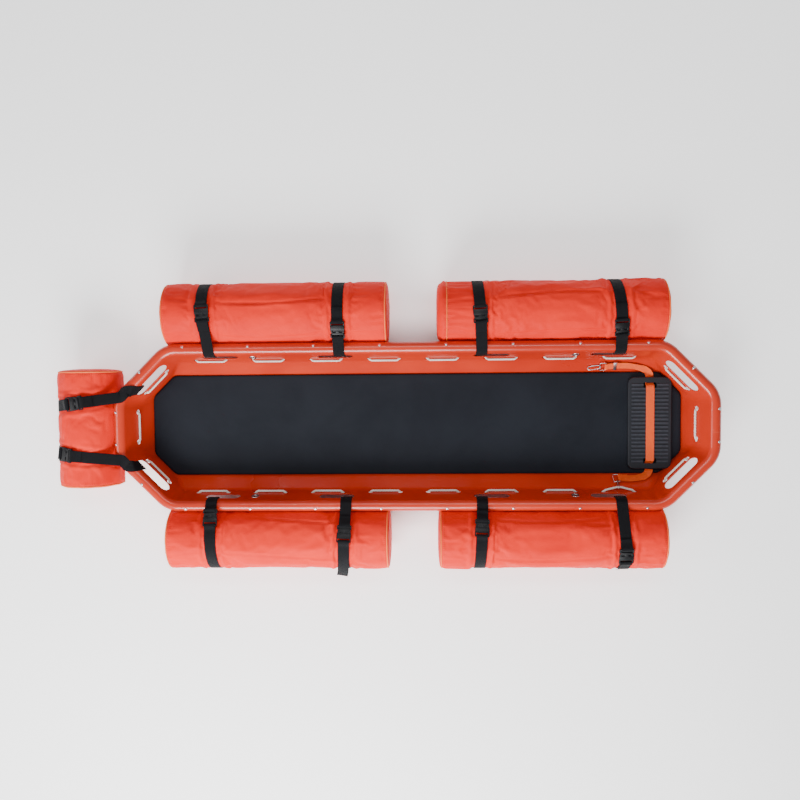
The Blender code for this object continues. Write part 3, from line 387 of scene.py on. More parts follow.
def shade(ob, sharp=None):
    """Smooth shading, where edges over an angle in degrees may stay sharp."""
    ob.data.shade_smooth()
    if sharp is not None:
        ob.data.set_sharp_from_angle(angle=radians(sharp))


def piece(name, bm, material, body="tub", stands_for=(), smooth=None):
    """Turns a bmesh into a finished piece of the object."""
    ob = formed(name, bm)
    paint(ob.data, material)
    shade(ob, smooth)
    if body:
        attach(ob, body)
    if stands_for:
        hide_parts(*stands_for)
    return ob


def modify(ob, kind, **settings):
    """Adds a modifier."""
    mod = ob.modifiers.new(kind.lower(), kind)
    for key, value in settings.items():
        setattr(mod, key, value)


def apply(ob):
    """Applies every modifier of a piece."""
    with bpy.context.temp_override(object=ob, active_object=ob, selected_objects=[ob]):
        for mod in list(ob.modifiers):
            bpy.ops.object.modifier_apply(modifier=mod.name)


def close_up(bm):
    """Merges doubled points and turns every face outward."""
    ops.remove_doubles(bm, verts=bm.verts, dist=0.00002)
    ops.recalc_face_normals(bm, faces=bm.faces)


def axes(x, y, z, spot):
    """A frame at spot from its three directions."""
    turned = Matrix((x, y, z)).transposed().to_4x4()
    turned.translation = spot
    return turned


def facing(direction, spot):
    """A frame at spot whose z looks along a direction."""
    turned = direction.to_track_quat("Z", "Y").to_matrix().to_4x4()
    turned.translation = spot
    return turned


def laid_grid(bm, across, along, wide, long, place):
    """A grid laid through place(side -1..1, run 0..1), with its flat sizes kept in the map named strip."""
    grid = ops.create_grid(bm, x_segments=across, y_segments=along, size=1.0)["verts"]
    strip = bm.loops.layers.uv.get("strip") or bm.loops.layers.uv.new("strip")
    for face in {f for v in grid for f in v.link_faces}:
        for loop in face.loops:
            loop[strip].uv = (loop.vert.co.x * wide / 2, (loop.vert.co.y + 1) / 2 * long)
    for v in grid:
        v.co = place(v.co.x, (v.co.y + 1) / 2)
    return grid


class Route:
    """A smooth line through points, with the direction across the band at each."""

    def __init__(self, points, across, step=0.003, ease=3):
        fine, wide = [points[0]], [across[0]]
        for a, b, wa, wb in zip(points, points[1:], across, across[1:]):
            count = max(1, ceil((b - a).length / step))
            for k in range(1, count + 1):
                fine.append(a.lerp(b, k / count))
                wide.append(wa.lerp(wb, k / count))
        for _ in range(ease):
            fine = [fine[0]] + [(p + q * 2 + r) / 4 for p, q, r in zip(fine, fine[1:], fine[2:])] + [fine[-1]]
        self.points, self.across = fine, wide
        self.reach = [0.0]
        for a, b in zip(fine, fine[1:]):
            self.reach.append(self.reach[-1] + (b - a).length)
        self.length = self.reach[-1]

    def at(self, run):
        """Point, direction across and direction off the face at run 0..1."""
        goal = run * self.length
        low = min(bisect_right(self.reach, goal) - 1, len(self.reach) - 2)
        high = low + 1
        part = (goal - self.reach[low]) / max(self.reach[high] - self.reach[low], 1e-9)
        p = self.points[low].lerp(self.points[high], part)
        before, after = self.points[max(low - 1, 0)], self.points[min(high + 1, len(self.points) - 1)]
        along = (after - before).normalized()
        wide = self.across[low].lerp(self.across[high], part)
        wide = (wide - along * wide.dot(along)).normalized()
        return p, wide, wide.cross(along)


def band(name, route, width, thick, material, stands_for, body="tub", wave=0.0):
    """A strap of webbing along a route, with rounded selvedges."""
    def place(side, run):
        p, wide, off = route.at(run)
        edge = abs(side) ** 8
        ripple = wobble(run * route.length * 45, side * 1.5, len(name))
        ripple = wave * ripple * min(run * 12, 1.0)
        return p + wide * side * width / 2 + off * (ripple - 0.0002 * edge)

    bm = bmesh.new()
    laid_grid(bm, 8, max(8, round(route.length / 0.0035)), width, route.length, place)
    ob = piece(name, bm, material, body, stands_for)
    modify(ob, "SOLIDIFY", thickness=thick, offset=0.0, use_even_offset=False)
    modify(ob, "BEVEL", width=thick * 0.3, segments=2, angle_limit=radians(50))
    apply(ob)
    return ob


def block(bm, size, place, round_by):
    """A bevelled bar of plastic or metal, size in metres, set by a matrix."""
    made = ops.create_cube(bm, size=1.0)["verts"]
    ops.scale(bm, vec=size, verts=made)
    edges = list({e for v in made for e in v.link_edges})
    rounded = ops.bevel(bm, geom=edges, offset=round_by, offset_type="OFFSET", affect="EDGES",
                        segments=2, profile=0.5, material=-1)
    verts = list({v for f in rounded["faces"] for v in f.verts} | {v for v in made if v.is_valid})
    ops.transform(bm, matrix=place, verts=verts)


# The tub's own lines, as the solid model has them

def wall_part(side, z):
    """The wall's stage at a height: its lower and upper inset, and its lower and upper height."""
    if z >= KNEE_Z:
        return KNEE_IN[side], TOP_IN, KNEE_Z, TOP_Z
    return FLOOR_IN[side], KNEE_IN[side], FLOOR_Z, KNEE_Z


def inset(side, z):
    low, high, z0, z1 = wall_part(side, z)
    return low + (high - low) * (z - z0) / (z1 - z0)


def lean(side, z):
    """How far a unit of the wall's own thickness reaches when it is measured level."""
    low, high, z0, z1 = wall_part(side, z)
    return hypot(low - high, z1 - z0) / (z1 - z0)


def fillet(corners, radius, steps):
    """Corner points (x, y) of a closed outline turned into arcs."""
    out = []
    for i, c in enumerate(corners):
        c = Vector(c)
        a = (Vector(corners[i - 1]) - c).normalized()
        b = (Vector(corners[(i + 1) % len(corners)]) - c).normalized()
        half = a.angle(b) / 2
        middle = c + (a + b).normalized() * radius / sin(half)
        start = c + a * radius / tan(half) - middle
        sweep = (c + b * radius / tan(half) - middle).angle_signed(start)
        out += [middle + Matrix.Rotation(sweep * k / steps, 2) @ start for k in range(steps + 1)]
    return out


def plan(ins, z, steps=10):
    """Level loop round the tub, in from the rim's middle by ins."""
    hx, hy = RIM_X - ins["end"], RIM_Y - ins["side"]
    leg = CHAMFER - ins["end"] - ins["side"] + sqrt(2) * ins["corner"]
    corners = [(hx, -hy + leg), (hx, hy - leg), (hx - leg, hy), (-hx + leg, hy),
               (-hx, hy - leg), (-hx, -hy + leg), (-hx + leg, -hy), (hx - leg, -hy)]
    return [Vector((p.x + TUB_X, p.y, z)) for p in fillet(corners, FILLET - ins["corner"], steps)]


def wall_loop(z, out=0.0, extra=0.0, at=None, steps=10):
    place = z if at is None else at
    return plan({s: inset(s, place) - out * lean(s, place) + extra for s in FLOOR_IN}, z, steps)


def roll_loop(angle, radius):
    t = radians(angle)
    return plan({s: -radius * cos(t) for s in FLOOR_IN}, ROLL_Z + radius * sin(t))


def wall_frame(side, along, z, sx=1, sy=1):
    """Frame on the wall's inner face: x along it, y up it, z out through it, in the object's place."""
    depth = inset(side, z)
    if side == "side":
        out, spot = Vector((0, sy, 0)), Vector((along, sy * (RIM_Y - depth), z))
    elif side == "end":
        out, spot = Vector((sx, 0, 0)), Vector((sx * (RIM_X - depth), along, z))
    else:
        out = Vector((sx, sy, 0)).normalized()
        middle = Vector((sx * (RIM_X - CHAMFER / 2), sy * (RIM_Y - CHAMFER / 2), z))
        spot = middle - out * depth + Vector((sx, -sy, 0)).normalized() * along
    run = depth - inset(side, z + 0.001)
    slope = (out * run + Vector((0, 0, 0.001))).normalized()
    normal = (out - slope * out.dot(slope)).normalized()
    return axes(slope.cross(normal), slope, normal, spot + Vector((TUB_X, 0, 0)))


def stack(bm, loops):
    """Joins level loops one above another by bridging."""
    rows = []
    for loop in loops:
        verts = [bm.verts.new(p) for p in loop]
        rows.append([bm.edges.new((a, b)) for a, b in zip(verts, verts[1:] + verts[:1])])
    for low, high in zip(rows, rows[1:]):
        ops.bridge_loops(bm, edges=low + high)
    return rows


def shell_loops():
    """Level loops of the tub's wall: up its inner face, round the rolled rim, and back down its outer face."""
    def bend(low, corner, high, z, out):
        def depth(side, at):
            return inset(side, at) - out * lean(side, at)

        rows = []
        for t in (0.0, 0.25, 0.5, 0.75, 1.0):
            a, b, c = (1 - t) ** 2, 2 * t * (1 - t), t ** 2
            ins = {s: a * (depth(s, z[0]) + low) + b * (depth(s, z[1]) + corner) + c * (depth(s, z[2]) + high)
                   for s in FLOOR_IN}
            rows.append((ins, z[0] * a + z[1] * b + z[2] * c))
        return rows

    knee = (KNEE_Z - 0.009, KNEE_Z, KNEE_Z + 0.009)
    rows = bend(0.009, 0.0, 0.0, (FLOOR_Z, FLOOR_Z, FLOOR_Z + 0.008), 0.0) + bend(0.0, 0.0, 0.0, knee, 0.0)
    loops = [plan(ins, z) for ins, z in rows]
    turns = [162.0 - 212.0 * k / 26 for k in range(27)]
    loops += [roll_loop(t, ROLL_R) for t in turns] + [roll_loop(t, ROLL_R - WALL) for t in turns[::-1]]
    rows = bend(0.0, 0.0, 0.0, knee[::-1], WALL)
    low = FLOOR_Z - WALL
    rows += [({s: inset(s, FLOOR_Z) - WALL * lean(s, FLOOR_Z) * 0.45 + d for s in FLOOR_IN}, low + h)
             for d, h in ((-0.0072, 0.0068), (-0.004, 0.0032), (0.0, 0.0008), (0.006, 0.0))]
    return loops + [plan(ins, z) for ins, z in rows]


def plug(bm, turned, radius, reach=0.0, segments=20):
    """A round or long plug through the wall, for cutting an opening."""
    ring = ops.create_circle(bm, cap_ends=True, segments=segments, radius=radius)["verts"]
    ops.rotate(bm, cent=(0, 0, 0), matrix=Matrix.Rotation(pi / segments, 3, "Z"), verts=ring)
    for v in ring:
        v.co.x += copysign(reach, v.co.x)
        v.co.z -= 0.012
    face = list({f for v in ring for f in v.link_faces})
    made = ops.extrude_face_region(bm, geom=face)["geom"]
    far = [v for v in made if isinstance(v, bmesh.types.BMVert)]
    ops.translate(bm, vec=(0, 0, WALL + 0.024), verts=far)
    ops.transform(bm, matrix=turned, verts=ring + far)


def make_shell(plastic):
    """The moulded tub: an even wall with soft knees, and openings with rounded lips."""
    bm = bmesh.new()
    rows = stack(bm, shell_loops())
    for row in (rows[0], rows[-1]):
        ops.edgeloop_fill(bm, edges=row)
    ops.recalc_face_normals(bm, faces=bm.faces)
    shell = piece("moulded_tub", bm, plastic, stands_for=("shell",))
    bm = bmesh.new()
    for sy in (1, -1):
        for x in SLOT_X:
            plug(bm, wall_frame("side", x, SLOT_Z, 1, sy), *SLOT_CUT)
        for x in (-EYE_X, EYE_X):
            plug(bm, wall_frame("side", x, SLOT_Z, 1, sy), EYE_HOLE)
        for k in range(16):
            x = ROPE_PITCH * (k // 2 - 3.5) + (k % 2 - 0.5) * ROPE_SPAN
            plug(bm, wall_frame("side", x, ROPE_Z, 1, sy), *ROPE_HOLE)
    for sx in (1, -1):
        for half in (-0.5, 0.5):
            plug(bm, wall_frame("end", half * ROPE_SPAN, ROPE_Z, sx), *ROPE_HOLE)
            for sy in (1, -1):
                plug(bm, wall_frame("corner", half * ROPE_SPAN, ROPE_Z, sx, sy), *ROPE_HOLE)
        for sy in (1, -1):
            plug(bm, wall_frame("corner", 0.0, HAND_Z, sx, sy), *HAND_CUT)
    ops.recalc_face_normals(bm, faces=bm.faces)
    plugs = formed("plugs", bm)
    modify(shell, "BOOLEAN", operation="DIFFERENCE", solver="EXACT", object=plugs)
    modify(shell, "BEVEL", width=0.0011, segments=3, angle_limit=radians(48), use_clamp_overlap=False)
    apply(shell)
    bpy.data.objects.remove(plugs)
    paint(shell.data, plastic)
    shade(shell, 42)
    modify(shell, "WEIGHTED_NORMAL", keep_sharp=True)
    apply(shell)


# Flotation rolls

# The cloth run: frames, how far the cover shrinks (below 0 it is cut large), and the air's pressure
FRAMES, SHRINK, PRESSURE = 20, -0.027, 0.3
# How far the cover may stand off the roll's size, where free and towards the rim, and how far in its foam lies
FREE_CAP, NEAR_CAP, CORE_IN = 0.007, 0.0022, 0.0045
SNUG, PROUD = -0.0065, 0.0031
SEEDS, END_SEED = 7.3, 50.5


def cover_outline(half, soft_end):
    """(distance along, radius, kind) of the sewn cover, from end to end."""
    def end(sign, cap):
        rim = FLOAT_R - 0.0015
        if cap:
            steps = [(0.0, 0.0), (0.25, 0.0), (0.5, 0.0003), (0.7, 0.0012), (0.85, 0.0035), (0.93, 0.008),
                     (0.975, 0.016), (0.993, 0.027), (1.0, 0.036)]
        else:
            steps = [(0.0, 0.0), (0.2, 0.0002), (0.4, 0.0008), (0.6, 0.0018), (0.78, 0.0032), (0.9, 0.0048),
                     (0.965, 0.0062), (0.992, 0.0086), (1.0, 0.0112)]
        return [(sign * (half + 0.0055 - drop), rim * r, "end") for r, drop in steps]

    first, last = end(-1, soft_end < 0), end(1, soft_end > 0)[::-1]
    low, high = first[-1][0] + 0.004, last[0][0] - 0.004
    count = round((high - low) / 0.0058)
    middle = [(low + (high - low) * k / count, FLOAT_R, "sleeve") for k in range(count + 1)]
    return first + middle + last, low, high


def float_cover(name, centre, along, half, straps, seed, cloth, piping, soft_end=0):
    """A roll in its sewn cover, creased beside each strap and pleated at its end seams.
    straps are (distance along, lean per unit out)."""
    along = Vector(along)
    out = Vector((0, 1, 0)) if abs(along.x) > 0.5 else Vector((-1, 0, 0))
    if centre.y < -0.1:
        out = Vector((0, -1, 0))
    outline, low, high = cover_outline(half, soft_end)

    def strap_gap(s, turn):
        u = max(FLOAT_OUT + FLOAT_R * cos(turn), 0.0)
        return min(abs(s - (at + slope * u)) - STRAP_W / 2 for at, slope in straps)

    def swell(s, turn, kind):
        c, n = cos(turn), sin(turn)
        if kind == "end":
            return 0.0
        gap = strap_gap(s, turn)
        free = clip((gap - 0.002) / 0.022)
        free = free * free * (3 - 2 * free)
        seam = min(s - low, high - s)
        lump = wobble(s * 4.2, c * 0.9 + seed, n * 0.9) * 0.0012
        pull = exp(-max(gap, 0.0) / 0.042)
        crease = wobble(c * 2.6 + seed, n * 2.6, s * 7.5 + turn * 0.9)
        crease = (0.62 - min(abs(crease) * 3.4, 1.0)) * 0.0034 * pull
        pleat = wobble(c * 4.6, n * 4.6 + seed, s * 2.2)
        pleat = (0.5 - min(abs(pleat) * 3.0, 1.0)) * 0.003 * exp(-seam / 0.034) * min(seam / 0.006, 1.0)
        fold = exp(-((turn - 1.12 - 0.16 * sin(s * 6 + seed)) / 0.055) ** 2)
        fold += 0.7 * exp(-((turn - 2.35 - 0.1 * sin(s * 9 + seed)) / 0.045) ** 2)
        fold *= -0.0013 * clip(gap / 0.06) * min(seam / 0.08, 1.0)
        tuck = 0.0022 * free - 0.0008
        return clip(tuck + (lump + crease + pleat + fold) * free * min(seam / 0.01, 1.0), SNUG, PROUD)

    def place(side, run):
        k = round(run * (len(outline) - 1))
        s, r, kind = outline[k]
        turn = (side + 1) * pi
        wave = turn - 2 * pi if turn > pi else turn
        r += swell(s, wave, kind) if r > 0.02 else 0.0
        if kind == "end" and 0.25 < r / FLOAT_R < 0.97:
            s += copysign(0.001, s) * wobble(cos(turn) * 3, sin(turn) * 3, r * 12 + seed)
        return centre + along * s + (out * cos(turn) + UP * sin(turn)) * r

    bm = bmesh.new()
    laid_grid(bm, 120, len(outline) - 1, 2 * pi * FLOAT_R, 2 * half, place)
    strip = bm.loops.layers.uv["strip"]
    for face in bm.faces:
        for loop in face.loops:
            s = (loop.vert.co - centre).dot(along)
            loop[strip].uv = (loop[strip].uv.x, min(s - low, high - s) + 0.004)
    close_up(bm)
    cover = piece(f"roll_cover_{name}", bm, cloth,
                  stands_for=(f"float_cover_{name}", f"float_end_{name}"))
    settle_cover(cover, centre, along, half, strap_gap)

    bm = bmesh.new()
    for s in (low - 0.004, high + 0.004):
        ring = ops.create_circle(bm, segments=8, radius=PIPE_R)["verts"]
        tilt = axes(along, out, UP, centre + along * s + out * (FLOAT_R - 0.0003))
        ops.transform(bm, matrix=tilt, verts=ring)
        edges = list({e for v in ring for e in v.link_edges})
        ops.spin(bm, geom=edges, cent=centre + along * s, axis=along, angle=2 * pi, steps=96,
                 use_merge=True, use_duplicate=False)
    close_up(bm)
    piece(f"roll_piping_{name}", bm, piping)


def settle_cover(cover, centre, along, half, gap_at):
    """Lets a cover cut a little large settle on its foam, held by the straps and its end seams."""
    held = cover.vertex_groups.new(name="held")
    limits = []
    toward = atan2(ROLL_Z - FLOAT_Z, -FLOAT_OUT)
    for v in cover.data.vertices:
        p = v.co - centre
        s = p.dot(along)
        off = p - along * s
        level = off.to_2d()
        turn = atan2(off.z, copysign(level.length, level.dot(centre.to_2d() - Vector((TUB_X, 0)))))
        if gap_at(s, turn) < 0.001 or abs(s) > half - 0.012 or off.length < FLOAT_R * 0.93:
            held.add([v.index], 1.0, "REPLACE")
        limits.append(FLOAT_R + (NEAR_CAP if cos(turn - toward) > 0.86 else FREE_CAP))
    bm = bmesh.new()
    radius = FLOAT_R - CORE_IN
    core = ops.create_cone(bm, cap_ends=True, segments=64, radius1=radius, radius2=radius,
                           depth=2 * half - 0.01)["verts"]
    ops.transform(bm, matrix=facing(along, centre), verts=core)
    core = formed("core", bm)
    core.modifiers.new("foam", "COLLISION")
    core.collision.thickness_outer, core.collision.cloth_friction = 0.001, 5.0
    cloth = cover.modifiers.new("cloth", "CLOTH")
    give = cloth.settings
    give.quality, give.mass, give.vertex_group_mass = 4, 0.25, "held"
    give.tension_stiffness = give.compression_stiffness = 12.0
    give.shear_stiffness, give.bending_stiffness = 3.0, 0.04
    give.tension_damping = give.compression_damping = give.shear_damping = 12.0
    give.shrink_min, give.effector_weights.gravity = SHRINK, 0.0
    give.use_pressure, give.uniform_pressure_force = True, PRESSURE
    cloth.collision_settings.use_collision, cloth.collision_settings.distance_min = True, 0.001
    cloth.point_cache.frame_start, cloth.point_cache.frame_end = 1, FRAMES
    for f in range(1, FRAMES + 1):
        scene.frame_set(f)
    apply(cover)
    scene.frame_set(1)
    bpy.data.objects.remove(core)
    cover.vertex_groups.clear()
    for v, limit in zip(cover.data.vertices, limits):
        off = v.co - centre
        off -= along * off.dot(along)
        if off.length > limit:
            v.co -= off * (1 - (limit + (off.length - limit) * 0.15) / off.length)
        v.co.z = max(v.co.z, 0.001)


def make_rolls(cloth, piping):
    seed = 1.0
    for sx, end in ((-1, "head"), (1, "foot")):
        for sy, side in ((1, "left"), (-1, "right")):
            centre = Vector((TUB_X + sx * ROLL_X, sy * (RIM_Y + FLOAT_OUT), FLOAT_Z))
            straps = [(x - sx * ROLL_X, shift / (FLOAT_OUT + FLOAT_R)) for _, x, s, _, shift, _ in SIDE_STRAPS
                      if s == sy and x * sx > 0]
            seed += SEEDS
            float_cover(f"{side}_{end}", centre, (1, 0, 0), SIDE_HALF, straps, seed, cloth, piping,
                        soft_end=-1 if (side, end) == ("left", "foot") else 0)
    centre = Vector((TUB_X - RIM_X - FLOAT_OUT, 0.0, FLOAT_Z))
    straps = [(sy * END_STRAP_Y, -sy * END_STRAP_LEAN) for _, sy, _, _ in END_STRAPS]
    float_cover("head", centre, (0, 1, 0), END_HALF, straps, END_SEED, cloth, piping)


# Straps: each is a taut loop in a plane, u outwards from the rim's middle line and z up

def hull(points):
    points = sorted(set(points))

    def half(seq):
        out = []
        for p in seq:
            while len(out) > 1 and ((out[-1][0] - out[-2][0]) * (p[1] - out[-2][1])
                                    - (out[-1][1] - out[-2][1]) * (p[0] - out[-2][0])) <= 1e-12:
                out.pop()
            out.append(p)
        return out[:-1]

    return half(points) + half(points[::-1])


def arc(u, z, radius, start, end, step):
    turns = [start + step * k for k in range(round((end - start) / step) + 1)]
    return [(u + radius * cos(radians(t)), z + radius * sin(radians(t))) for t in turns]


def taut_loop(place, inner, roll_u=0.0, roll_r=ROLL_R + 0.0019, slack=0.0):
    """From the buckle's upper end round the float, through the wall, over the rim to its other end."""
    radius = FLOAT_R + GAP + slack + STRAP_T / 2
    gap = Vector((roll_u - FLOAT_OUT, ROLL_Z - FLOAT_Z))
    leave = atan2(gap.y, gap.x) - acos((radius - roll_r) / gap.length)
    limit = cos(leave) * radius
    turn = acos(place / radius) if place >= limit else leave
    normal = Vector((cos(turn), sin(turn)))
    spot = Vector((FLOAT_OUT, FLOAT_Z)) + normal * radius
    toward = Vector((-normal.y, normal.x))
    if place < limit:
        spot += toward * (place - limit) / toward.x
    reach = BUCKLE_L / 2 + 0.002
    near, far = spot + toward * reach, spot - toward * reach
    points = arc(FLOAT_OUT, FLOAT_Z, radius, 0, 345, 15) + arc(roll_u, ROLL_Z, roll_r, 72, 180, 9) + [inner]
    loop = hull(points + [tuple(near), tuple(far)])
    start = min(range(len(loop)), key=lambda i: (Vector(loop[i]) - near).length)
    loop = loop[start:] + loop[:start]
    stop = min(range(len(loop)), key=lambda i: (Vector(loop[i]) - far).length)
    loop = [Vector(p) for p in loop[:stop + 1]]
    fine = [loop[0]]
    middle = Vector((FLOAT_OUT, FLOAT_Z))
    for a, b in zip(loop, loop[1:]):
        round_it = abs((a - middle).length - radius) < 1e-5 and abs((b - middle).length - radius) < 1e-5
        for k in range(1, 4):
            p = a.lerp(b, k / 3)
            fine.append(middle + (p - middle).normalized() * radius if round_it else p)
    return fine, spot, normal, toward


def lifted(path, off, length, height):
    """Points along a path from its start, lifted off it, up to a length."""
    out, run = [], 0.0
    for i, (a, b) in enumerate(zip(path, path[1:])):
        step = (b - a).length
        if run + step >= length:
            out.append((a + (b - a) * (length - run) / step, off(i)))
            break
        run += step
        out.append((b, (off(i) + off(i + 1)).normalized()))
    return [p + n * height for p, n in out]


def buckle(name, turned, plastic):
    """A side-release buckle, shut: ribbed body, latch arms in its side notches, bars for webbing."""
    w, half = BUCKLE_W / 2, BUCKLE_L / 2
    low, mid = BUCKLE_LIFT, BUCKLE_LIFT + BUCKLE_T / 2
    bm = bmesh.new()

    def bar(x, y, z, sx, sy, sz, soft=0.0009, turn=0.0):
        place = turned @ Matrix.Translation((x, y, z)) @ Matrix.Rotation(turn, 4, "Z")
        block(bm, (sx, sy, sz), place, soft)

    for sign in (1, -1):
        bar(0, sign * (half - BAR / 2), mid, 2 * w - 0.004, BAR, BUCKLE_T * 0.8, 0.0014)
        for side in (1, -1):
            bar(side * (w - 0.0026), sign * (half - 0.009), mid, 0.0048, 0.015, BUCKLE_T * 0.84, 0.0012)
    bar(0, -0.0075, mid, 2 * w - 0.0012, 0.019, BUCKLE_T, 0.0018)
    bar(0, 0.013, mid, 2 * w - 0.012, 0.0085, BUCKLE_T * 0.9, 0.0016)
    bar(0, 0.006, mid, 0.013, 0.012, BUCKLE_T * 0.84, 0.0012)
    for side in (1, -1):
        bar(side * (w - 0.0062), 0.0055, mid, 0.0072, 0.014, BUCKLE_T * 0.74, 0.0016, side * 0.12)
        for k in range(3):
            bar(side * (w - 0.003), 0.002 + 0.003 * k, mid, 0.003, 0.0012, BUCKLE_T * 0.78, 0.0004)
    bar(0, 0.0035, mid - 0.0016, 2 * w - 0.007, 0.037, 0.0022, 0.0006)
    for k in range(4):
        bar(0, -0.0135 + 0.004 * k, low + BUCKLE_T - 0.0002, 2 * w - 0.016, 0.0012, 0.001, 0.0004)
    bar(0, half - BAR - 0.0115, mid + 0.0012, 2 * w - 0.01, 0.0022, BUCKLE_T * 0.5, 0.0008)
    piece(f"latched_{name}", bm, plastic, stands_for=(name,), smooth=35)


def strap(name, place_3d, taut, tail, cloth, plastic, swap=None, hang=0.0):
    """Webbing with both ends folded round the buckle's bars, and the buckle. A long end hangs."""
    loop, spot, normal, toward = taut
    centre = place_3d(spot)
    along = (place_3d(spot + toward * 0.01) - centre).normalized()
    up = place_3d(spot + normal * 0.01) - centre
    up = (up - along * up.dot(along)).normalized()
    across = along.cross(up)
    turned = axes(across, along, up, centre)
    points = [place_3d(p) for p in loop]
    level = Vector((1, 0, 0)) if abs(across.x) > abs(across.y) else Vector((0, 1, 0))
    wide = [level * copysign(1, level.dot(across)) for _ in points]
    wide[0] = wide[-1] = across
    if swap is not None:
        points, wide = swap(points, wide)

    def off_face(path, cross):
        def at(i):
            i = min(i, len(path) - 2)
            return (path[i + 1] - path[i]).cross(cross).normalized()
        return at

    first = lifted(points, off_face(points, -across), 0.03, FOLD_LIFT)
    back = points[::-1]
    last = lifted(back, off_face(back, across), tail + hang, FOLD_LIFT)
    if hang:
        ease = [(k / (len(last) - 1)) ** 3 for k in range(len(last))]
        outward = Vector((0, copysign(1, centre.y), 0.35))
        last = [p + outward * 0.024 * t - Vector((0.012 * t, 0, 0)) for p, t in zip(last, ease)]
    half, top = BUCKLE_L / 2, BUCKLE_LIFT + BUCKLE_T + 0.0018
    fold = [(half + 0.0015, top), (half - BAR - 0.002, top), (half - BAR - 0.0042, top - 0.0022),
            (half - BAR - 0.0042, 0.0022), (half - BAR - 0.002, 0.0)]
    into = [turned @ Vector((0.0, a, h)) for a, h in fold]
    back_out = [turned @ Vector((0.0, -a, h)) for a, h in fold[::-1]]
    path = first[::-1] + into + points + back_out + last
    wide = [across] * (len(first) + 5) + wide + [across] * (5 + len(last))
    band(f"webbing_{name}", Route(path, wide, ease=1), STRAP_W, WEB_T, cloth, (f"strap_{name}",),
         wave=0.00022)
    buckle(f"buckle_{name}", turned, plastic)


def make_straps(cloth, plastic):
    z = 0.148
    inner = (-inset("side", z) - 0.0016, z)
    for name, x, sy, place, lean_x, tail in SIDE_STRAPS:
        def place_3d(p, x=x, sy=sy, lean_x=lean_x):
            x += lean_x * max(p[0], 0.0) / (FLOAT_OUT + FLOAT_R)
            return Vector((TUB_X + x, sy * (RIM_Y + p[0]), p[1]))

        hang = HANG if name == "right_head_2" else 0.0
        strap(name, place_3d, taut_loop(place, inner), tail, cloth, plastic, hang=hang)
    for name, sy, place, tail in END_STRAPS:
        taut = taut_loop(place, (-0.03, 0.115), -0.004, ROLL_R + 0.0036, slack=0.0005)

        def place_3d(p, sy=sy):
            return Vector((TUB_X - RIM_X - p[0], sy * (END_STRAP_Y - END_STRAP_LEAN * p[0]), p[1]))

        def swap(points, wide, sy=sy, loop=taut[0]):
            top = min(i for i, p in enumerate(loop) if p.x < 0)
            low = min(i for i, p in enumerate(loop) if i > top and p.x > 0)
            out = Vector((-1, sy, 0)).normalized()
            slide = Vector((-1, -sy, 0)).normalized()
            rim = Vector((TUB_X - RIM_X + CHAMFER / 2, sy * (RIM_Y - CHAMFER / 2), 0)) + slide * HOLE_END

            def at(depth, height, along=0.0):
                return rim - out * depth + slide * along + Vector((0, 0, height))

            through = [at(0.003, ROLL_Z + ROLL_R + 0.0034, 0.028), at(0.0165, ROLL_Z + ROLL_R - 0.0015, 0.013),
                       at(0.0242, ROLL_Z + 0.004, 0.005)]
            through += [at(inset("corner", z) + off, height) for z, off, height in (
                (0.15, 0.0022, 0.15), (0.142, -WALL / 2, 0.143), (0.134, -WALL - 0.006, 0.132))]
            turn = slide if slide.dot(wide[0]) > 0 else -slide
            part = [(wide[0].normalized() * (1 - t) + turn * t).normalized() for t in (0.45, 0.75, 0.92)]
            return points[:top + 1] + through + points[low:], wide[:top + 1] + part + [turn] * 3 + wide[low:]

        strap(name, place_3d, taut, tail, cloth, plastic, swap)


# Life line

def rope_line():
    """Centre line of the life line: inside each span, outside between them."""
    near = ROPE_R + 0.0006
    corners = wall_loop(ROPE_Z - 0.0024, out=WALL + near, steps=3)
    sides = [ROPE_PITCH * (k - 3.5) for k in range(8)]
    spans = [("side", s, 1, 1) for s in reversed(sides)]
    spans += [("corner", 0.0, -1, 1), ("end", 0.0, -1, 1), ("corner", 0.0, -1, -1)]
    spans += [("side", s, 1, -1) for s in sides]
    spans += [("corner", 0.0, 1, -1), ("end", 0.0, 1, 1), ("corner", 0.0, 1, 1)]
    points, before, bend = [], "side", 3
    for side, middle, sx, sy in spans + [("side", None, 1, 1)]:
        if side != before:
            points += corners[bend * 4:bend * 4 + 4]
            before, bend = side, (bend + 1) % 8
        if middle is None:
            break
        way = {"side": sy, "end": -sx, "corner": sx * sy}[side]
        ends = (way, -way)
        for order, end in enumerate(ends):
            hole = wall_frame(side, middle + end * ROPE_SPAN / 2, ROPE_Z, sx, sy)
            other = wall_frame(side, middle - end * ROPE_SPAN / 2, ROPE_Z, sx, sy)
            inward = (other.translation - hole.translation).normalized()
            out = hole.to_3x3() @ UP
            steps = [(-0.0075, WALL + near), (-0.0024, WALL / 2 + 0.0024),
                     (0.0024, WALL / 2 - 0.0024), (0.0075, -near)]
            points += [hole.translation + inward * s + out * w for s, w in (steps[::-1] if order else steps)]
            if not order and (side, sy) == ("side", -1) and middle > 3 * ROPE_PITCH:
                points += [hole.translation + inward * s - out * w for s, w in
                           ((0.025, 0.009), (0.045, ROPE_BULGE), (0.065, ROPE_BULGE), (0.085, 0.009))]
    return points


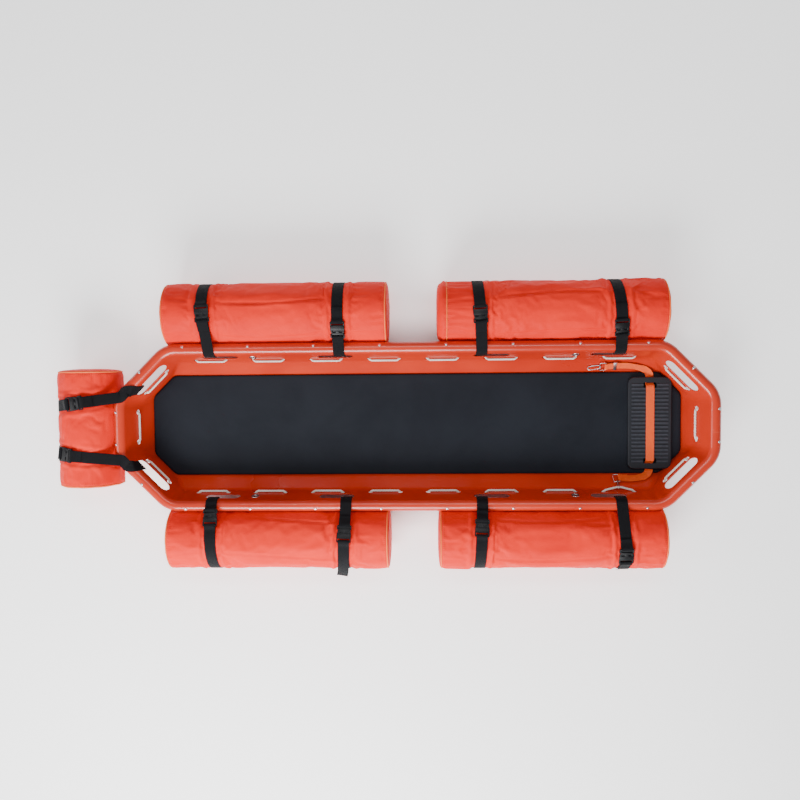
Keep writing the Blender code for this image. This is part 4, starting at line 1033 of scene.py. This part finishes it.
def make_rope(yarn):
    """Three strands laid together, as one twisted section drawn along the line."""
    points = rope_line()
    points.append(points[0])
    route = Route(points, [UP] * len(points), ease=1)
    lay = route.length / round(route.length / 0.03)

    def place(side, run):
        p, wide, off = route.at(run)
        around = (side + 1) * pi
        strand = abs(sin(1.5 * around))
        r = ROPE_R * (0.66 + 0.36 * strand ** 0.62)
        turn = around + 2 * pi * run * route.length / lay
        return p + (wide * cos(turn) + off * sin(turn)) * r

    bm = bmesh.new()
    laid_grid(bm, 18, round(route.length / 0.0034), 2 * pi * ROPE_R, route.length, place)
    close_up(bm)
    piece("twisted_life_line", bm, yarn, stands_for=("life_line",))


# Mat

def make_mat(skin):
    """Foam mat with soft edges, gently pillowed, with the dents of use."""
    low, high, soft = FLOOR_Z + GAP, MAT_TOP, 0.006
    edge = ((0.0, 0.011), (0.0015, 0.006), (0.006, 0.0018), (0.015, 0.0006), (high - soft - low, 0.0012))
    rings = [wall_loop(low + z, extra=d) for z, d in edge]
    for k in range(1, 6):
        turn = radians(18 * k)
        rings.append(wall_loop(high - soft + soft * sin(turn), extra=0.0012 + soft * (1 - cos(turn)),
                               at=high - soft))
    rings += [wall_loop(high + 0.0002, extra=0.0012 + soft + d, at=high - soft) for d in (0.01, 0.03, 0.07)]
    bm = bmesh.new()
    rows = stack(bm, rings)
    for row in (rows[0], rows[-1]):
        ops.triangle_fill(bm, edges=row, use_beauty=True, use_dissolve=False)
    ops.recalc_face_normals(bm, faces=bm.faces)
    mat = piece("foam_mat", bm, skin, stands_for=("mattress",))
    modify(mat, "REMESH", mode="VOXEL", voxel_size=0.0045, use_smooth_shade=True)
    apply(mat)
    for v in mat.data.vertices:
        dent = wobble(v.co.x * 3.1, v.co.y * 5.0, 0.4) + 0.5 * wobble(*(v.co * 14.0))
        v.co.z += clip((v.co.z - 0.036) / 0.008) * (dent * 0.0009 - 0.0006)
    modify(mat, "SMOOTH", factor=0.5, iterations=3)
    apply(mat)
    mat.data.shade_smooth()


# Foot rest webbing

def low_wall_frame(x, y, turn=0.0, height=0.0):
    """Frame on the lower wall: x to the head, y up the slope, z off the wall."""
    sy = copysign(1, y)
    run, rise = FLOOR_IN["side"] - KNEE_IN["side"], KNEE_Z - FLOOR_Z
    slope = Vector((0, sy * run, rise)).normalized()
    normal = Vector((0, -sy * rise, run)).normalized()
    z = FLOOR_Z + (abs(y) - (RIM_Y - FLOOR_IN["side"])) * rise / run
    level = axes(Vector((-1, 0, 0)), slope, normal, Vector((x + TUB_X, y, z)) + normal * height)
    return level @ Matrix.Rotation(radians(turn), 4, "Z")


def foot_webbing(cloth):
    """The strap across the plate, and the two tails that join it to the hooks' rings on the wall."""
    base, edge = MAT_TOP + GAP, PLATE_W / 2
    high = PLATE_H + GAP + FOOT_STRAP_T / 2 + 0.0002
    side = [(edge + 0.001, NOTCH_Z)] + [(FOOT_SLOT_Y + y, z) for y, z in (
        (0.012, NOTCH_Z), (0.0035, NOTCH_Z + 0.003), (0.0015, high - 0.004),
        (-0.002, high - 0.0006), (-0.01, high))]
    points = [Vector((PLATE_X + TUB_X, y, base + z)) for y, z in side + [(-y, z) for y, z in side[::-1]]]
    route = Route(points, [Vector((1, 0, 0))] * len(points), step=0.002, ease=2)
    band("foot_band_face", route, 0.03, FOOT_BAND_T, cloth, ("foot_strap_face",),
         "foot_rest", wave=0.0003)

    # Each tail: ring's x, y, height and turn, the folded end's length, and (x, y, height, twist) along the wall
    tails = (("left", 1, PLATE_X - 0.16, RIM_Y - 0.0675, 0.0085, -4.0, 0.05,
              [(0.024, 0.0784, 0.0054, 7), (0.052, 0.0712, 0.0056, -8), (0.087, 0.0672, 0.0052, 4),
               (0.125, 0.066, 0.0053, 0)]),
             ("right", -1, PLATE_X - 0.1085, 0.074 - RIM_Y, 0.0095, 4.0, 0.03,
              [(0.023, 0.079, 0.0056, -7), (0.046, 0.0752, 0.0056, 5), (0.0715, 0.074, 0.0055, 0)]))
    for name, sy, ring_x, ring_y, height, turn, back, spots in tails:
        ring = low_wall_frame(ring_x, ring_y, turn, height)
        path = [Vector((PLATE_X + TUB_X - x, sy * (edge + y), base + NOTCH_Z + z))
                for x, y, z in ((0.0, 0.0018, 0.0), (0.0005, 0.0095, 0.0008), (0.007, 0.021, 0.0012))]
        wall = low_wall_frame(0.0, sy * 0.2).to_3x3() @ UP
        path += [low_wall_frame(PLATE_X - x, sy * (RIM_Y - y)).translation + wall * h for x, y, h, _ in spots]
        fold = [(-0.004, -TAIL_DROP), (RING_BAR + 0.0005, -TAIL_DROP), (RING_BAR + 0.0022, -0.0018),
                (RING_BAR + 0.0022, 0.0018), (RING_BAR + 0.0005, TAIL_DROP), (-0.001, TAIL_DROP),
                (-0.01, -TAIL_DROP + 0.0034), (-back, -TAIL_DROP + 0.0026)]
        path += [ring @ Vector((a, 0.0, h)) for a, h in fold]
        wide = [Vector((sy, 0, 0))]
        for i in range(1, len(spots) + 3):
            along = (path[i + 1] - path[i - 1]).normalized()
            twist = spots[i - 3][3] if i > 2 else 0
            wide.append(Matrix.Rotation(radians(twist), 3, along) @ wall.cross(along))
        if wide[1].dot(wide[0]) < 0:
            wide[0] = -wide[0]
        flat = ring.to_3x3() @ Vector((0, 1, 0))
        wide += [flat if flat.dot(wide[-1]) > 0 else -flat] * len(fold)
        tail = band(f"foot_band_tail_{name}", Route(path, wide, step=0.002, ease=1), 0.028, FOOT_BAND_T, cloth,
                    (f"foot_strap_tail_{name}",), body=None, wave=0.0007)
        tuple(path[4])
        tuple(path[0])
        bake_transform(tail)


# Bent and pressed metal

def round_metal(steel, *names):
    """Rings, hooks, gates and eyes from their solids, with round bars. The slider keeps flat faces."""
    bodies = {held: body for body, row in frame["record"]["behaviour"]["bodies"].items() for held in row}
    for name in names:
        flat = name.startswith("strap_slider")
        bm = bmesh.new()
        bm.from_mesh(nodes[name].data)
        ops.remove_doubles(bm, verts=bm.verts, dist=0.00001)
        ops.join_triangles(bm, faces=bm.faces, angle_face_threshold=radians(25),
                           angle_shape_threshold=radians(80))
        bm.normal_update()
        if flat:
            edges = [e for e in bm.edges if e.calc_face_angle(0.0) > radians(40)]
            ops.bevel(bm, geom=edges, offset=0.00035, offset_type="OFFSET", affect="EDGES", segments=2,
                      profile=0.5, material=-1)
        else:
            crease = bm.edges.layers.float.new("crease_edge")
            for e in bm.edges:
                e[crease] = 0.8 if e.calc_face_angle(0.0) > radians(80) else 0.0
            for v in bm.verts:
                v.co += v.normal * 0.00012
        ob = piece(f"formed_{name}", bm, steel, bodies[name], (name,), 40 if flat else None)
        if not flat:
            modify(ob, "SUBSURF", levels=2, render_levels=2)
            apply(ob)


# Rivets along the rim

RIVET_TILT, RIVET_X, RIVET_Y = radians(60), (0.1175, 0.3525, 0.5875, 0.8225), 0.058


def make_rivets(steel):
    bm = bmesh.new()
    flat, rise = cos(RIVET_TILT), sin(RIVET_TILT)
    spots = [(x * sx, sy * RIM_Y, (0, sy)) for sx in (-1, 1) for x in RIVET_X for sy in (1, -1)]
    spots += [(sx * RIM_X, y, (sx, 0)) for sx in (1, -1) for y in (-RIVET_Y, RIVET_Y)]
    spots += [(sx * (RIM_X - CHAMFER / 2), sy * (RIM_Y - CHAMFER / 2), (sx, sy))
              for sx in (1, -1) for sy in (1, -1)]
    for x, y, level in spots:
        off = Vector((*level, 0)).normalized() * flat + UP * rise
        head = ops.create_cone(bm, cap_ends=True, segments=14, radius1=0.0056, radius2=0.005,
                               depth=0.0016)["verts"]
        dome = ops.create_uvsphere(bm, u_segments=14, v_segments=8, radius=0.0046)["verts"]
        ops.scale(bm, vec=(1, 1, 0.42), verts=dome)
        turned = facing(off, Vector((x + TUB_X, y, ROLL_Z)) + off * (ROLL_R + 0.0006))
        ops.transform(bm, matrix=turned, verts=head + dome)
    piece("rim_rivets", bm, steel, smooth=40)


# Studio

def make_studio(matt):
    bm = bmesh.new()
    ops.create_grid(bm, x_segments=1, y_segments=1, size=45.0)
    piece("floor", bm, matt, body=None)
    world = bpy.data.worlds.new("studio")
    world.use_nodes = True
    sky = world.node_tree.nodes["Background"].inputs
    sky["Color"].default_value, sky["Strength"].default_value = (0.96, 0.98, 1.0, 1.0), 0.36
    scene.world = world
    for name, power, size, place, target in (
            ("key", 232.0, (2.4, 1.3), (-0.7, -2.7, 2.2), (0.0, 0.1, 0.0)),
            ("low", 12.0, (3.4, 0.5), (0.1, -3.2, 1.15), (0.1, 0.1, 0.05)),
            ("head_side", 34.0, (1.2, 1.6), (-2.9, -0.5, 1.7), (-0.5, 0.0, 0.1)),
            ("far_rim", 42.0, (3.2, 0.5), (0.2, 1.3, 3.1), (0.1, 0.0, 0.1))):
        lamp = bpy.data.lights.new(name, "AREA")
        lamp.energy, lamp.shape, lamp.size, lamp.size_y = power, "RECTANGLE", *size
        ob = placed(name, lamp)
        ob.location = place
        ob.rotation_euler = (Vector(target) - Vector(place)).to_track_quat("-Z", "Y").to_euler()


def wear(material, *names):
    """Gives CAD nodes a finish."""
    for name in names:
        paint(nodes[name].data, material)


def main():
    place_camera()
    tub = tub_plastic()
    cloth = coated_cloth("roll_cloth", (0.78, 0.0135, 0.0045), (0.92, 0.0225, 0.008), sewn=True)
    piping = coated_cloth("piping_cloth", (0.86, 0.13, 0.03), (0.98, 0.22, 0.06), 0.5)
    black = webbing("black_webbing", (0.0018, 0.0018, 0.0026), (0.009, 0.0095, 0.0125))
    orange = webbing("orange_webbing", (0.76, 0.07, 0.012), (0.98, 0.155, 0.036))
    latch = moulded("latch_plastic", (0.003, 0.003, 0.004), (0.0075, 0.0075, 0.0095), 0.34)
    runner = moulded("runner_plastic", (0.012, 0.012, 0.014), (0.024, 0.024, 0.027), 0.55, 500.0, 0.0004)
    steel = metal("polished_steel", (0.72, 0.72, 0.73), 0.16)
    tube = metal("frame_alloy", (0.76, 0.77, 0.78), 0.3, (0.1, 1.0, 1.0))

    make_shell(tub)
    wear(tube, "frame_tube")
    round_metal(steel, *[n for n in nodes if n.startswith(("lifting_eye", "ring_", "hook_", "strap_slider"))])
    wear(runner, "runner_left", "runner_right")
    wear(plate_plastic(), "foot_plate")
    wear(foam_cell(), *[n for n in nodes if n.startswith("foam_core")])
    make_rolls(cloth, piping)
    make_straps(black, latch)
    make_rope(rope_yarn())
    make_mat(mat_skin())
    foot_webbing(orange)
    make_rivets(steel)
    make_studio(glowing_floor_paint())


main()
